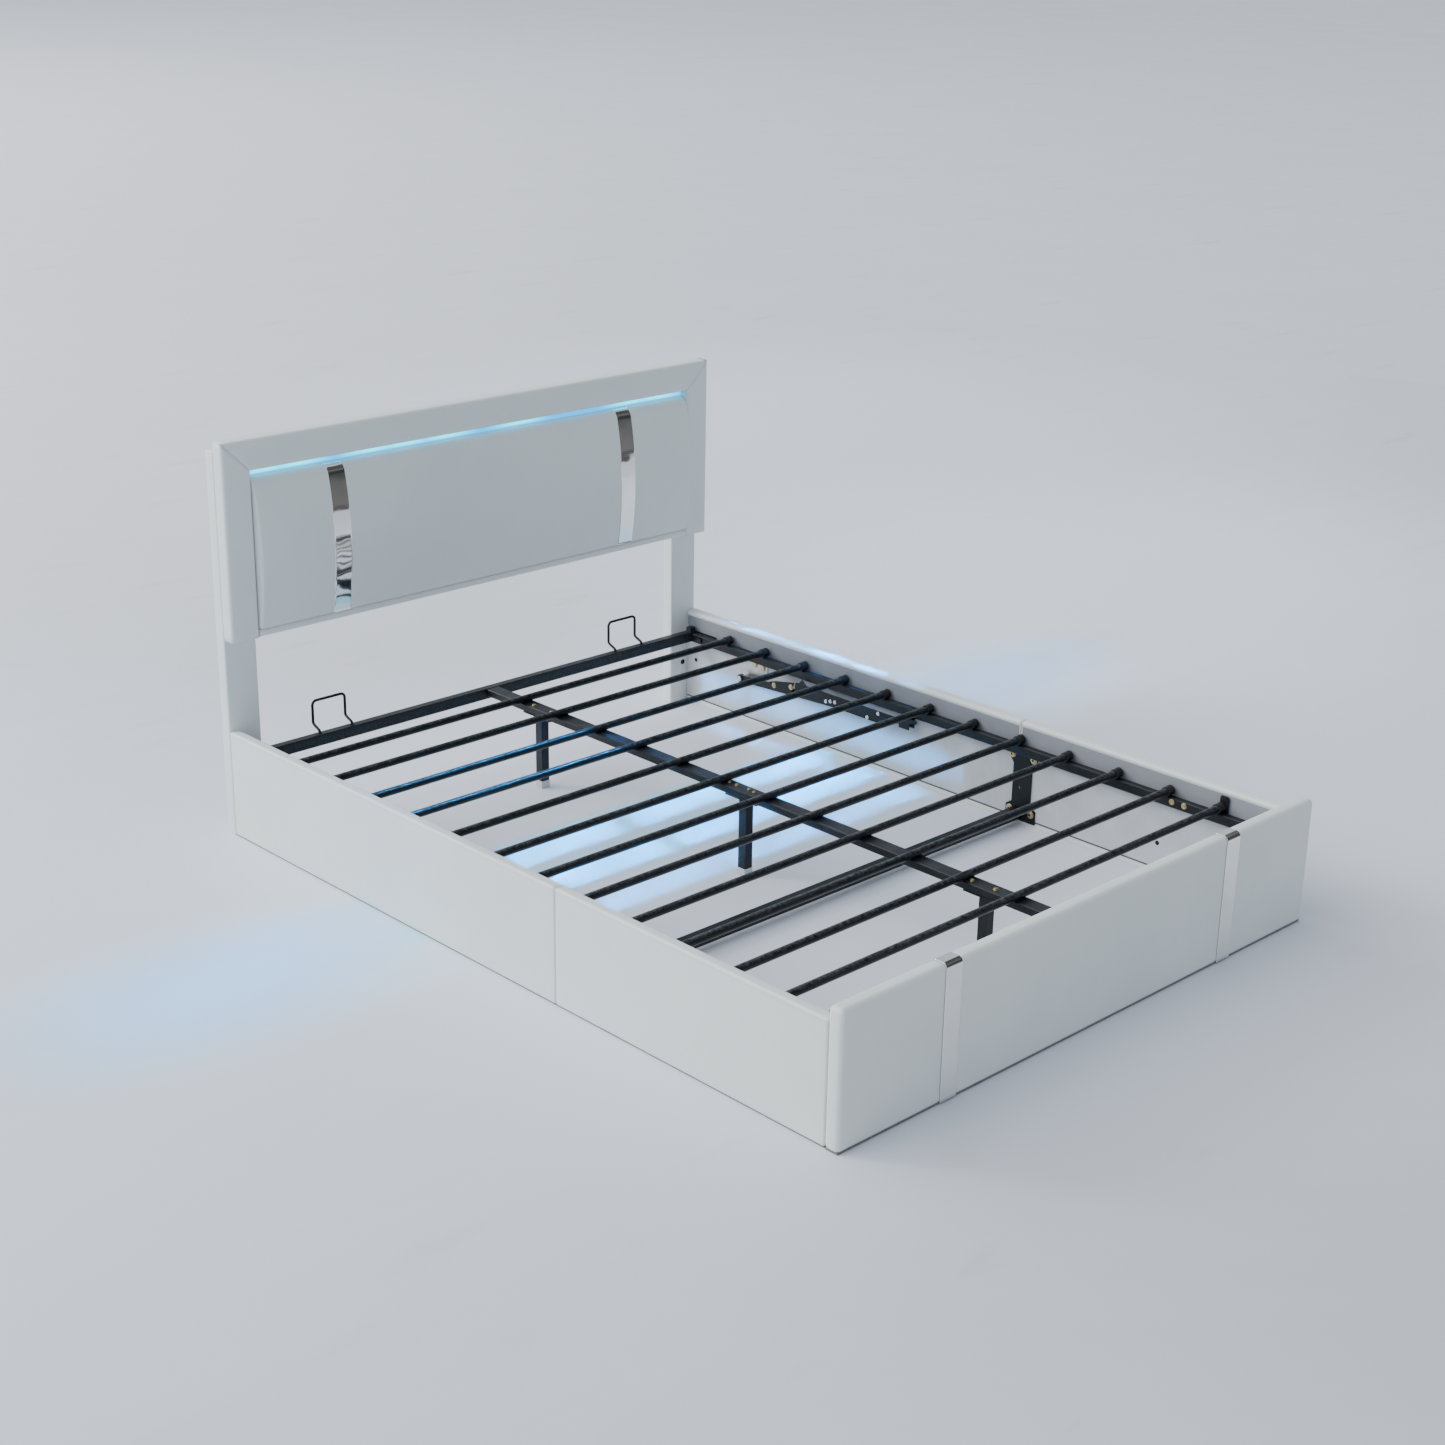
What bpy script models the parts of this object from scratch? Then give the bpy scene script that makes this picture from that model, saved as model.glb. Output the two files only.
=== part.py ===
"""Upholstered bed with a lit headboard and a slatted steel platform that lifts for storage.

Metres, +Z up. The foot end faces -Y, the headboard stands at +Y, and the origin lies on the
floor under the middle of the bed. Side +1 is the right side (+X), side -1 the left.
"""
import math

import bmesh
import bpy
from mathutils import Matrix, Vector

# Whole bed
WIDTH = 1.600
GAP = 0.0003
OVERRUN = 0.004
SIDES = (("right", 1), ("left", -1))

# Footboard, a padded board in one piece
FOOT_HEIGHT = 0.314
FOOT_THICK = 0.038
FOOT_ROUND = 0.012
FOOT_ROUND_STEPS = 3

# Side rails, two padded boards on each side
RAIL_HEIGHT = 0.279
RAIL_THICK = 0.030
RAIL_LENGTH = 2.080
RAIL_FOOT_LENGTH = 0.812
RAIL_INSET = 0.002
RAIL_ROUND = 0.007

# Posts that carry the headboard
POST_WIDTH = 0.092
POST_DEPTH = 0.036
POST_DROP = 0.026
POST_ROUND = 0.004

# Headboard border, four padded members in front of the posts
HEAD_TOP = 1.026
HEAD_BOTTOM = 0.524
BORDER_DEPTH = 0.042
BORDER_SIDE = 0.080
BORDER_TOP = 0.078
BORDER_BOTTOM = 0.020
BORDER_ROUND = 0.006
BORDER_SEAM = 0.0008

# Board that closes the headboard behind, between the posts
BACK_THICK = 0.012
BACK_DROP = 0.006

# Swelling panel inside the border, curled back at its top
PANEL_RADIUS = 0.880
PANEL_STAND = 0.024
PANEL_MIDDLE = 0.723
PANEL_CURL = 0.030
PANEL_CLEAR = 0.0015
PANEL_ROUND = 0.004
PANEL_FACE_STEPS = 10
PANEL_CURL_STEPS = 5
LIGHT_GAP = 0.018

# Light bar in the gap over the panel
CHANNEL_END_CLEAR = 0.020
CHANNEL_DEPTH = 0.016
CHANNEL_HEIGHT = 0.012
CHANNEL_WALL = 0.0015
DIFFUSER_RECESS = 0.001

# Chrome strips on the panel and on the footboard
STRIP_THICK = 0.0012
STRIP_CLEAR = 0.0004
HEAD_STRIP_WIDTH = 0.052
HEAD_STRIP_EDGE = 0.242
HEAD_STRIP_HEM = 0.004
FOOT_STRIP_WIDTH = 0.050
FOOT_STRIP_EDGE = 0.322
FOOT_STRIP_HEM = 0.003
FOOT_STRIP_RETURN = 0.020

# Steel platform, square tubes open at their ends
PLATFORM_TOP = 0.224
PLATFORM_SIDE_CLEAR = 0.006
PLATFORM_FOOT_CLEAR = 0.0075
PLATFORM_HEAD_CLEAR = 0.025
TUBE_WALL = 0.0012
TUBE_ROUND = 0.002
MEMBER_WIDTH = 0.020
MEMBER_HEIGHT = 0.025
HEAD_BAR_DEPTH = 0.025
HEAD_BAR_HEIGHT = 0.0295
HEAD_BAR_RISE = 0.0045
HEAD_CAP_WIDTH = 0.020
HEAD_CAP_DEPTH = 0.017
HEAD_CAP_RISE = 0.012
SPINE_WIDTH = 0.040
SPINE_HEIGHT = 0.020

# Slats, round tubes with a plastic sleeve pressed on each end
SLAT_COUNT = 12
SLAT_FIRST = 0.1842
SLAT_LAST = 0.1953
SLAT_END_STEP = 0.148
SLAT_RADIUS = 0.0095
CAP_RADIUS = 0.013
CAP_LENGTH = 0.026
CAP_LIP = 0.002
SLAT_SIDES = 12

# Legs under the spine
LEG_FIRST = 0.2738
LEG_LAST = 0.2594
LEG_SHARES = (0, 0.495, 1)
LEG_WIDTH = 0.025
LEG_PLATE_LENGTH = 0.110
LEG_PLATE_THICK = 0.003

# Wire loops that hold the mattress at the head
LOOP_EDGE = 0.257
LOOP_WIDTH = 0.100
LOOP_WIRE = 0.004
LOOP_STUB = 0.006
LOOP_LEAN = 0.030
LOOP_LEAN_RISE = 0.012
LOOP_RISE = 0.0612
LOOP_CORNER = 0.012
LOOP_CORNER_STEPS = 3

# Upright plates outside the side members that keep the mattress off the rails near the foot
GUIDE_WIDTH = 0.025
GUIDE_RISE = 0.041
GUIDE_THICK = 0.003
GUIDE_SHIFT = 0.005
GUIDE_CORNER = 0.004

# Brackets that tie the two halves of each side rail, and the beam between them
TIE_WIDTH = 0.097
TIE_WAIST = 0.061
TIE_THICK = 0.004
TIE_BOTTOM = 0.010
TIE_TOP = 0.206
TIE_FOOT_TOP = 0.046
TIE_WAIST_LOW = 0.058
TIE_WAIST_HIGH = 0.164
TIE_HEAD_LOW = 0.188
TIE_SHIFT = 0.0175
TIE_BOLT_SPREAD = 0.070
TIE_BOLT_LOW = 0.036
TIE_BOLT_HIGH = 0.188
TIE_HOLE_HEIGHT = 0.100
TIE_HOLE_SHIFT = 0.0085
TIE_HOLE_RADIUS = 0.004
BEAM_WIDTH = 0.030
BEAM_HEIGHT = 0.028
BEAM_RISE = 0.014
BEAM_SHIFT = 0.005
RAIL_HOLE_PLACE = 0.364
RAIL_HOLE_HEIGHT = 0.083
RAIL_HOLE_RADIUS = 0.006
RAIL_HOLE_DEPTH = 0.016
BOLT_RADIUS = 0.008
BOLT_HEIGHT = 0.004
BOLT_SIDES = 8

# Corner brackets behind the footboard
CORNER_REACH = 0.042
CORNER_THICK = 0.003
CORNER_LOW = 0.060
CORNER_HIGH = 0.150
CORNER_BOLT_PLACE = 0.025
CORNER_BOLT_DROP = 0.020

# Hinge at the head end of the platform
HINGE_BACK = 0.083
HINGE_PLATE_LENGTH = 0.090
HINGE_PLATE_DROP = 0.014
HINGE_PLATE_RISE = 0.014
HINGE_PLATE_THICK = 0.0032
HINGE_PIN_RADIUS = 0.006
HINGE_PIN_CLEAR = 0.0005
HINGE_BOSS_RADIUS = 0.012
HINGE_HEAD_RADIUS = 0.010
HINGE_HEAD_HEIGHT = 0.004
ROUND_SIDES = 16

# Gas strut on each side, its lower link pivoted on a plate bolted to the side rail
STRUT_LOW_BACK = 0.258
STRUT_LOW_Z = 0.140
STRUT_HIGH_BACK = 0.898
STRUT_HIGH_Z = 0.176
STRUT_INSET = 0.023
MOUNT_PLATE_THICK = 0.003
MOUNT_PAD_WIDTH = 0.048
MOUNT_PAD_HEIGHT = 0.040
MOUNT_EAR_REACH = 0.086
MOUNT_EAR_RISE = 0.057
MOUNT_EAR_LOW = 0.027
MOUNT_EAR_NEAR = 0.020
MOUNT_BOLT_SHARES = ((0.42, 0.81), (0.80, 0.75))
STRUT_PIN_RADIUS = 0.004
STRUT_PIN_CLEAR = 0.0004
STRUT_BOSS_RADIUS = 0.009
STRUT_HEAD_RADIUS = 0.0075
STRUT_HEAD_HEIGHT = 0.004
EYE_RADIUS = 0.012
EYE_THICK = 0.010
LINK_LENGTH = 0.232
LINK_HEIGHT = 0.020
LINK_THICK = 0.007
LINK_CORNER = 0.006
LINK_RIVET_SHARES = (0.616, 0.906)
ROD_RADIUS = 0.005
ROD_START = 0.212
ROD_LENGTH = 0.440
CYLINDER_RADIUS = 0.011
CYLINDER_BORE = 0.0055
CYLINDER_START = 0.243
CYLINDER_END = 0.525
CYLINDER_BORE_LENGTH = 0.245
CYLINDER_NECK_RADIUS = 0.006
CYLINDER_SHOULDER = 0.004

# Fork under the side member that takes the strut's upper eye
FORK_LENGTH = 0.036
FORK_THICK = 0.003
FORK_SIDE_CLEAR = 0.0045
FORK_DROP = 0.034

# Flat bar that hangs beside each strut, held at the fork and by a lug at its head end
BAR_LENGTH = 0.4555
BAR_HEIGHT = 0.042
BAR_THICK = 0.003
BAR_DROP = 0.0425
BAR_FOOT_REACH = 0.0465
BAR_OUTLINE_SHARES = ((0, 0.79), (0.10, 0.61), (0.14, 0.45), (0.19, 0.30), (0.25, 0), (0.99, 0), (1, 0.12),
                      (1, 0.71), (0.99, 0.83), (0.97, 0.83), (0.94, 1.15), (0.905, 0.83), (0.17, 0.83),
                      (0.145, 1), (0, 1))

# Places worked out from the sizes above
STRIP_PROUD = STRIP_CLEAR + STRIP_THICK
LENGTH = STRIP_PROUD + FOOT_THICK + RAIL_LENGTH + POST_DEPTH
FOOT_FRONT_Y = STRIP_PROUD - LENGTH / 2
FOOT_BACK_Y = FOOT_FRONT_Y + FOOT_THICK
POST_FRONT_Y = FOOT_BACK_Y + RAIL_LENGTH
HEAD_BACK_Y = POST_FRONT_Y + POST_DEPTH
BORDER_FRONT_Y = POST_FRONT_Y - BORDER_DEPTH
RAIL_JOINT_Y = FOOT_BACK_Y + RAIL_FOOT_LENGTH
RAIL_OUTER_X = WIDTH / 2 - RAIL_INSET
RAIL_INNER_X = RAIL_OUTER_X - RAIL_THICK
POST_INNER_X = RAIL_OUTER_X - POST_WIDTH
OPENING_X = WIDTH / 2 - BORDER_SIDE
OPENING_LOW = HEAD_BOTTOM + BORDER_BOTTOM
OPENING_HIGH = HEAD_TOP - BORDER_TOP
MEMBER_OUTER_X = RAIL_INNER_X - PLATFORM_SIDE_CLEAR
MEMBER_INNER_X = MEMBER_OUTER_X - MEMBER_WIDTH
MEMBER_LOW = PLATFORM_TOP - MEMBER_HEIGHT
PLATFORM_FRONT_Y = FOOT_BACK_Y + PLATFORM_FOOT_CLEAR
HEAD_BAR_BACK_Y = POST_FRONT_Y - PLATFORM_HEAD_CLEAR
HEAD_BAR_FRONT_Y = HEAD_BAR_BACK_Y - HEAD_BAR_DEPTH
HEAD_BAR_TOP = PLATFORM_TOP + HEAD_BAR_RISE
SLAT_INNER_RUN = RAIL_LENGTH - SLAT_FIRST - SLAT_LAST - 2 * SLAT_END_STEP
SLAT_PITCH = SLAT_INNER_RUN / (SLAT_COUNT - 3)
LEG_RUN = RAIL_LENGTH - LEG_FIRST - LEG_LAST
SLAT_HALF_FLAT = math.cos(math.pi / SLAT_SIDES)
SLAT_Z = PLATFORM_TOP + GAP + CAP_RADIUS * SLAT_HALF_FLAT
SPINE_TOP = SLAT_Z - SLAT_RADIUS * SLAT_HALF_FLAT - GAP
SPINE_LOW = SPINE_TOP - SPINE_HEIGHT
TIE_Y = RAIL_JOINT_Y - TIE_SHIFT
TIE_INNER_X = RAIL_INNER_X - GAP - TIE_THICK
HINGE_Y = POST_FRONT_Y - HINGE_BACK
HINGE_Z = PLATFORM_TOP - MEMBER_HEIGHT / 2
STRUT_X = RAIL_INNER_X - STRUT_INSET
STRUT_LOW_Y = POST_FRONT_Y - STRUT_LOW_BACK
STRUT_HIGH_Y = POST_FRONT_Y - STRUT_HIGH_BACK


def material(name, colour, roughness, metallic=0.0, glow=0.0):
    """A plain Principled material, made once for each name."""
    made = bpy.data.materials.get(name)
    if made:
        return made
    made = bpy.data.materials.new(name)
    made.use_nodes = True
    made.diffuse_color = (*colour, 1)
    shader = made.node_tree.nodes["Principled BSDF"]
    shader.inputs["Base Color"].default_value = (*colour, 1)
    shader.inputs["Roughness"].default_value = roughness
    shader.inputs["Metallic"].default_value = metallic
    shader.inputs["Emission Color"].default_value = (*colour, 1)
    shader.inputs["Emission Strength"].default_value = glow
    return made


def finish_mesh(bm, name):
    """Face normals out, one mesh."""
    bmesh.ops.recalc_face_normals(bm, faces=bm.faces)
    mesh = bpy.data.meshes.new(name)
    bm.to_mesh(mesh)
    bm.free()
    return mesh


def place(name, mesh, look, parent=None, smooth=False):
    """Link a mesh as a named object with its material."""
    piece = bpy.data.objects.new(name, mesh)
    bpy.context.scene.collection.objects.link(piece)
    if look:
        mesh.materials.append(look)
    if smooth:
        mesh.shade_smooth()
        mesh.set_sharp_from_angle(angle=math.radians(35))
    if parent:
        piece.parent = parent
        piece.matrix_parent_inverse = parent.matrix_world.inverted()
    return piece


def loft(rings, name):
    """Skin between rings of equal count, with a flat cap at each end."""
    bm = bmesh.new()
    loops = [[bm.verts.new(point) for point in ring] for ring in rings]
    count = len(rings[0])
    for low, high in zip(loops, loops[1:]):
        for i in range(count):
            bm.faces.new((low[i], low[(i + 1) % count], high[(i + 1) % count], high[i]))
    bm.faces.new(list(reversed(loops[0])))
    bm.faces.new(loops[-1])
    return finish_mesh(bm, name)


def ring_loft(rings, name):
    """Skin between rings of equal count, the last one joined back to the first, as round a tube's wall."""
    bm = bmesh.new()
    loops = [[bm.verts.new(point) for point in ring] for ring in rings]
    count = len(rings[0])
    for low, high in zip(loops, loops[1:] + loops[:1]):
        for i in range(count):
            bm.faces.new((low[i], low[(i + 1) % count], high[(i + 1) % count], high[i]))
    return finish_mesh(bm, name)


def square_tube(low, high, axis, name):
    """A square tube with rounded edges from its low corner to its high corner, open at both ends."""
    across = [k for k in range(3) if k != axis]
    rings = []
    for inset, ends in ((0, (low, high)), (TUBE_WALL, (high, low))):
        a0, b0 = (low[k] + inset for k in across)
        a1, b1 = (high[k] - inset for k in across)
        cut = TUBE_ROUND - inset
        section = [(a0 + cut, b0), (a1 - cut, b0), (a1, b0 + cut), (a1, b1 - cut),
                   (a1 - cut, b1), (a0 + cut, b1), (a0, b1 - cut), (a0, b0 + cut)]
        for end in ends:
            ring = []
            for a, b in section:
                point = [end[axis]] * 3
                point[across[0]], point[across[1]] = a, b
                ring.append(point)
            rings.append(ring)
    return ring_loft(rings, name)


def block_mesh(low, high, name):
    """A box from its low corner to its high corner."""
    (x0, y0, z0), (x1, y1, z1) = low, high
    rings = [[(x0, y0, z), (x1, y0, z), (x1, y1, z), (x0, y1, z)] for z in (z0, z1)]
    return loft(rings, name)


def slab_x(outline, x0, x1, name):
    """An outline in Y and Z, drawn out along X."""
    return loft([[(x, y, z) for y, z in outline] for x in (x0, x1)], name)


def slab_y(outline, y0, y1, name):
    """An outline in X and Z, drawn out along Y."""
    return loft([[(x, y, z) for x, z in outline] for y in (y0, y1)], name)


def ring_x(x, radius, y, z, sides):
    """A ring round the X axis, with a flat side at its bottom and top."""
    turns = [math.pi * (2 * i + 1) / sides for i in range(sides)]
    return [(x, y + radius * math.sin(turn), z + radius * math.cos(turn)) for turn in turns]


def ring_y(y, radius, x, z, sides):
    """A ring round the Y axis, with a flat side at its bottom and top."""
    return [(b, a, c) for a, b, c in ring_x(y, radius, x, z, sides)]


def turned_x(profile, y, z, sides, name):
    """A turned shape round an axis along X, from (x, radius) pairs."""
    return loft([ring_x(x, radius, y, z, sides) for x, radius in profile], name)


def soften(piece, width, steps):
    """Round the edges of a padded or folded piece."""
    bevel = piece.modifiers.new("Rounded edges", "BEVEL")
    bevel.width = width
    bevel.segments = steps
    bevel.limit_method = "ANGLE"
    bevel.angle_limit = math.radians(50)


def combine(piece, mesh, operation):
    """Join a shape to a piece, or cut it out, with the shape kept as a hidden guide."""
    tool = place(piece.name + "_" + operation.lower(), mesh, None, piece.parent)
    tool.matrix_world = piece.matrix_world.copy()
    tool.hide_render = True
    tool.display_type = "WIRE"
    step = piece.modifiers.new(operation.title(), "BOOLEAN")
    step.operation = operation
    step.object = tool
    return tool


def empty(name, location):
    """A frame on a joint's axis, which carries the pieces that move with it."""
    frame = bpy.data.objects.new(name, None)
    frame.location = location
    bpy.context.scene.collection.objects.link(frame)
    bpy.context.view_layer.update()
    return frame


def spread(low_x, high_x, side):
    """Two X values mirrored to a side, in rising order."""
    return sorted((low_x * side, high_x * side))


def panel_face(offset):
    """Points of the panel's front from bottom to top edge, moved out by an offset."""
    low = OPENING_LOW + PANEL_CLEAR
    high = OPENING_HIGH - LIGHT_GAP
    centre_y = BORDER_FRONT_Y - PANEL_STAND + PANEL_RADIUS
    start = math.asin((low - PANEL_MIDDLE) / PANEL_RADIUS)
    inner = PANEL_RADIUS - PANEL_CURL
    turn = math.asin((high - PANEL_CURL - PANEL_MIDDLE) / inner)
    points = []
    for i in range(PANEL_FACE_STEPS + 1):
        angle = start + (turn - start) * i / PANEL_FACE_STEPS
        reach = PANEL_RADIUS + offset
        points.append((centre_y - reach * math.cos(angle), PANEL_MIDDLE + reach * math.sin(angle)))
    curl_y = centre_y - inner * math.cos(turn)
    curl_z = PANEL_MIDDLE + inner * math.sin(turn)
    for i in range(1, PANEL_CURL_STEPS + 1):
        angle = turn + (math.pi / 2 - turn) * i / PANEL_CURL_STEPS
        reach = PANEL_CURL + offset
        points.append((curl_y - reach * math.cos(angle), curl_z + reach * math.sin(angle)))
    return points


def footboard_wrap(offset):
    """Points round the footboard from the front's foot over the top to the back."""
    low = FOOT_STRIP_HEM
    shoulder = FOOT_HEIGHT - FOOT_ROUND
    reach = FOOT_ROUND + offset
    points = [(FOOT_FRONT_Y - offset, low)]
    for i in range(FOOT_ROUND_STEPS + 1):
        angle = math.pi / 2 * i / FOOT_ROUND_STEPS
        centre = FOOT_FRONT_Y + FOOT_ROUND
        points.append((centre - reach * math.cos(angle), shoulder + reach * math.sin(angle)))
    for i in range(FOOT_ROUND_STEPS + 1):
        angle = math.pi / 2 * (1 - i / FOOT_ROUND_STEPS)
        centre = FOOT_BACK_Y - FOOT_ROUND
        points.append((centre + reach * math.cos(angle), shoulder + reach * math.sin(angle)))
    points.append((FOOT_BACK_Y + offset, FOOT_HEIGHT - FOOT_STRIP_RETURN))
    return points


def strip(name, path, middle_x, width, look):
    """A thin metal strip that follows a path of points, given as a function of offset."""
    outline = path(STRIP_PROUD) + list(reversed(path(STRIP_CLEAR)))
    mesh = slab_x(outline, middle_x - width / 2, middle_x + width / 2, name)
    return place(name, mesh, look, smooth=True)


def make_headboard(leather, cloth, metal, chrome, light):
    """Posts, border, panel, back board, light bar and chrome strips."""
    for label, side in SIDES:
        x0, x1 = spread(POST_INNER_X, RAIL_OUTER_X, side)
        mesh = block_mesh((x0, POST_FRONT_Y, 0), (x1, HEAD_BACK_Y, HEAD_TOP - POST_DROP), "post")
        soften(place("headboard_post_" + label, mesh, leather), POST_ROUND, 2)

        rim = WIDTH / 2 * side
        lip = OPENING_X * side
        outline = [(rim, HEAD_BOTTOM), (lip, HEAD_BOTTOM), (lip, OPENING_HIGH - BORDER_SEAM),
                   (rim, HEAD_TOP - BORDER_SEAM)]
        mesh = slab_y(outline, BORDER_FRONT_Y, POST_FRONT_Y - GAP, "border")
        soften(place("headboard_border_" + label, mesh, leather), BORDER_ROUND, 3)

        def face(offset):
            return panel_face(offset)[:-1]

        middle = (OPENING_X - HEAD_STRIP_EDGE) * side
        strip("headboard_strip_" + label, face, middle, HEAD_STRIP_WIDTH, chrome)

    outline = [(-WIDTH / 2, HEAD_TOP), (-OPENING_X, OPENING_HIGH), (OPENING_X, OPENING_HIGH),
               (WIDTH / 2, HEAD_TOP)]
    mesh = slab_y(outline, BORDER_FRONT_Y, POST_FRONT_Y - GAP, "border")
    soften(place("headboard_border_top", mesh, leather), BORDER_ROUND, 3)
    reach = OPENING_X - BORDER_SEAM
    mesh = block_mesh((-reach, BORDER_FRONT_Y, HEAD_BOTTOM), (reach, POST_FRONT_Y - GAP, OPENING_LOW),
                      "border")
    soften(place("headboard_border_bottom", mesh, leather), BORDER_ROUND, 3)

    face = panel_face(0)
    back = POST_FRONT_Y - GAP
    outline = face + [(back, face[-1][1]), (back, face[0][1])]
    reach = OPENING_X - PANEL_CLEAR
    mesh = slab_x(outline, -reach, reach, "panel")
    soften(place("headboard_panel", mesh, leather, smooth=True), PANEL_ROUND, 2)

    reach = POST_INNER_X - GAP
    low = (-reach, POST_FRONT_Y, HEAD_BOTTOM + BACK_DROP)
    high = (reach, POST_FRONT_Y + BACK_THICK, HEAD_TOP - BACK_DROP)
    place("headboard_back_board", block_mesh(low, high, "back board"), cloth)

    z0 = face[-1][1] + GAP
    z1 = z0 + CHANNEL_HEIGHT
    front = back - CHANNEL_DEPTH
    floor = back - CHANNEL_WALL
    outline = [(front, z0), (back, z0), (back, z1), (front, z1), (front, z1 - CHANNEL_WALL),
               (floor, z1 - CHANNEL_WALL), (floor, z0 + CHANNEL_WALL), (front, z0 + CHANNEL_WALL)]
    reach = OPENING_X - CHANNEL_END_CLEAR
    place("light_channel", slab_x(outline, -reach, reach, "light channel"), metal)
    low = (-reach, front + DIFFUSER_RECESS, z0 + CHANNEL_WALL + GAP)
    high = (reach, floor - GAP, z1 - CHANNEL_WALL - GAP)
    place("light_strip", block_mesh(low, high, "light strip"), light)


def make_bed_sides(leather, chrome):
    """Side rails in halves, and the footboard with its two chrome strips."""
    for label, side in SIDES:
        x0, x1 = spread(RAIL_INNER_X, RAIL_OUTER_X, side)
        runs = {"foot": (FOOT_BACK_Y + GAP, RAIL_JOINT_Y - GAP / 2),
                "head": (RAIL_JOINT_Y + GAP / 2, POST_FRONT_Y - GAP)}
        for end, (y0, y1) in runs.items():
            mesh = block_mesh((x0, y0, 0), (x1, y1, RAIL_HEIGHT), "side rail")
            piece = place("side_rail_" + label + "_" + end, mesh, leather)
            soften(piece, RAIL_ROUND, 3)
            if end == "foot":
                profile = [((RAIL_INNER_X - OVERRUN) * side, RAIL_HOLE_RADIUS),
                           ((RAIL_INNER_X + RAIL_HOLE_DEPTH) * side, RAIL_HOLE_RADIUS)]
                hole = turned_x(profile, FOOT_BACK_Y + RAIL_HOLE_PLACE, RAIL_HOLE_HEIGHT, ROUND_SIDES,
                                "bolt hole")
                combine(piece, hole, "DIFFERENCE")
        middle = (WIDTH / 2 - FOOT_STRIP_EDGE) * side
        strip("footboard_strip_" + label, footboard_wrap, middle, FOOT_STRIP_WIDTH, chrome)
    mesh = block_mesh((-WIDTH / 2, FOOT_FRONT_Y, 0), (WIDTH / 2, FOOT_BACK_Y, FOOT_HEIGHT), "footboard")
    soften(place("footboard", mesh, leather), FOOT_ROUND, FOOT_ROUND_STEPS)


def bolt_heads(top, sunk, spots, name, ring=ring_x):
    """Bolt heads that stand on a plate's inner face, all in one guide mesh."""
    bm = bmesh.new()
    for across, z in spots:
        rings = [ring(end, BOLT_RADIUS, across, z, BOLT_SIDES) for end in (sunk, top)]
        loops = [[bm.verts.new(point) for point in ring] for ring in rings]
        for i in range(BOLT_SIDES):
            j = (i + 1) % BOLT_SIDES
            bm.faces.new((loops[0][i], loops[0][j], loops[1][j], loops[1][i]))
        bm.faces.new(list(reversed(loops[0])))
        bm.faces.new(loops[1])
    return finish_mesh(bm, name)


def make_rail_ties(steel):
    """Bolted brackets across the rail joints, and the low beam between them."""
    wide, waist = TIE_WIDTH / 2, TIE_WAIST / 2
    half = [(wide, TIE_BOTTOM), (wide, TIE_FOOT_TOP), (waist, TIE_WAIST_LOW),
            (waist, TIE_WAIST_HIGH), (wide, TIE_HEAD_LOW), (wide, TIE_TOP)]
    outline = [(TIE_Y + y, z) for y, z in half] + [(TIE_Y - y, z) for y, z in reversed(half)]
    for label, side in SIDES:
        x0, x1 = spread(TIE_INNER_X, TIE_INNER_X + TIE_THICK, side)
        piece = place("rail_tie_" + label, slab_x(outline, x0, x1, "rail tie"), steel)
        spots = [(TIE_Y + TIE_BOLT_SPREAD / 2 * way, z) for way in (-1, 1)
                 for z in (TIE_BOLT_LOW, TIE_BOLT_HIGH)]
        sunk = (TIE_INNER_X + TIE_THICK / 2) * side
        heads = bolt_heads((TIE_INNER_X - BOLT_HEIGHT) * side, sunk, spots, "bolt heads")
        combine(piece, heads, "UNION")
        profile = [((TIE_INNER_X - OVERRUN) * side, TIE_HOLE_RADIUS),
                   ((TIE_INNER_X + TIE_THICK + OVERRUN) * side, TIE_HOLE_RADIUS)]
        hole = turned_x(profile, TIE_Y + TIE_HOLE_SHIFT, TIE_HOLE_HEIGHT, ROUND_SIDES, "hole")
        combine(piece, hole, "DIFFERENCE")
    reach = TIE_INNER_X - GAP
    beam_y = RAIL_JOINT_Y - BEAM_SHIFT
    low = (-reach, beam_y - BEAM_WIDTH / 2, BEAM_RISE)
    high = (reach, beam_y + BEAM_WIDTH / 2, BEAM_RISE + BEAM_HEIGHT)
    place("lower_cross_beam", square_tube(low, high, 0, "cross beam"), steel)


def make_corner_brackets(steel):
    """Bent plates that bolt the side rails to the back of the footboard."""
    for label, side in SIDES:
        rail_x = RAIL_INNER_X - GAP
        foot_y = FOOT_BACK_Y + GAP
        inner_x = rail_x - CORNER_THICK
        inner_y = foot_y + CORNER_THICK
        outline = [(rail_x, foot_y), (rail_x, foot_y + CORNER_REACH), (inner_x, foot_y + CORNER_REACH),
                   (inner_x, inner_y), (rail_x - CORNER_REACH, inner_y), (rail_x - CORNER_REACH, foot_y)]
        rings = [[(x * side, y, z) for x, y in outline] for z in (CORNER_LOW, CORNER_HIGH)]
        piece = place("corner_bracket_" + label, loft(rings, "corner bracket"), steel)
        heights = (CORNER_LOW + CORNER_BOLT_DROP, CORNER_HIGH - CORNER_BOLT_DROP)
        spots = [(foot_y + CORNER_BOLT_PLACE, z) for z in heights]
        heads = bolt_heads((inner_x - BOLT_HEIGHT) * side, (inner_x + CORNER_THICK / 2) * side, spots,
                           "rail bolts")
        combine(piece, heads, "UNION")
        spots = [((rail_x - CORNER_BOLT_PLACE) * side, z) for z in heights]
        heads = bolt_heads(inner_y + BOLT_HEIGHT, inner_y - CORNER_THICK / 2, spots, "foot bolts", ring_y)
        combine(piece, heads, "UNION")


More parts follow.
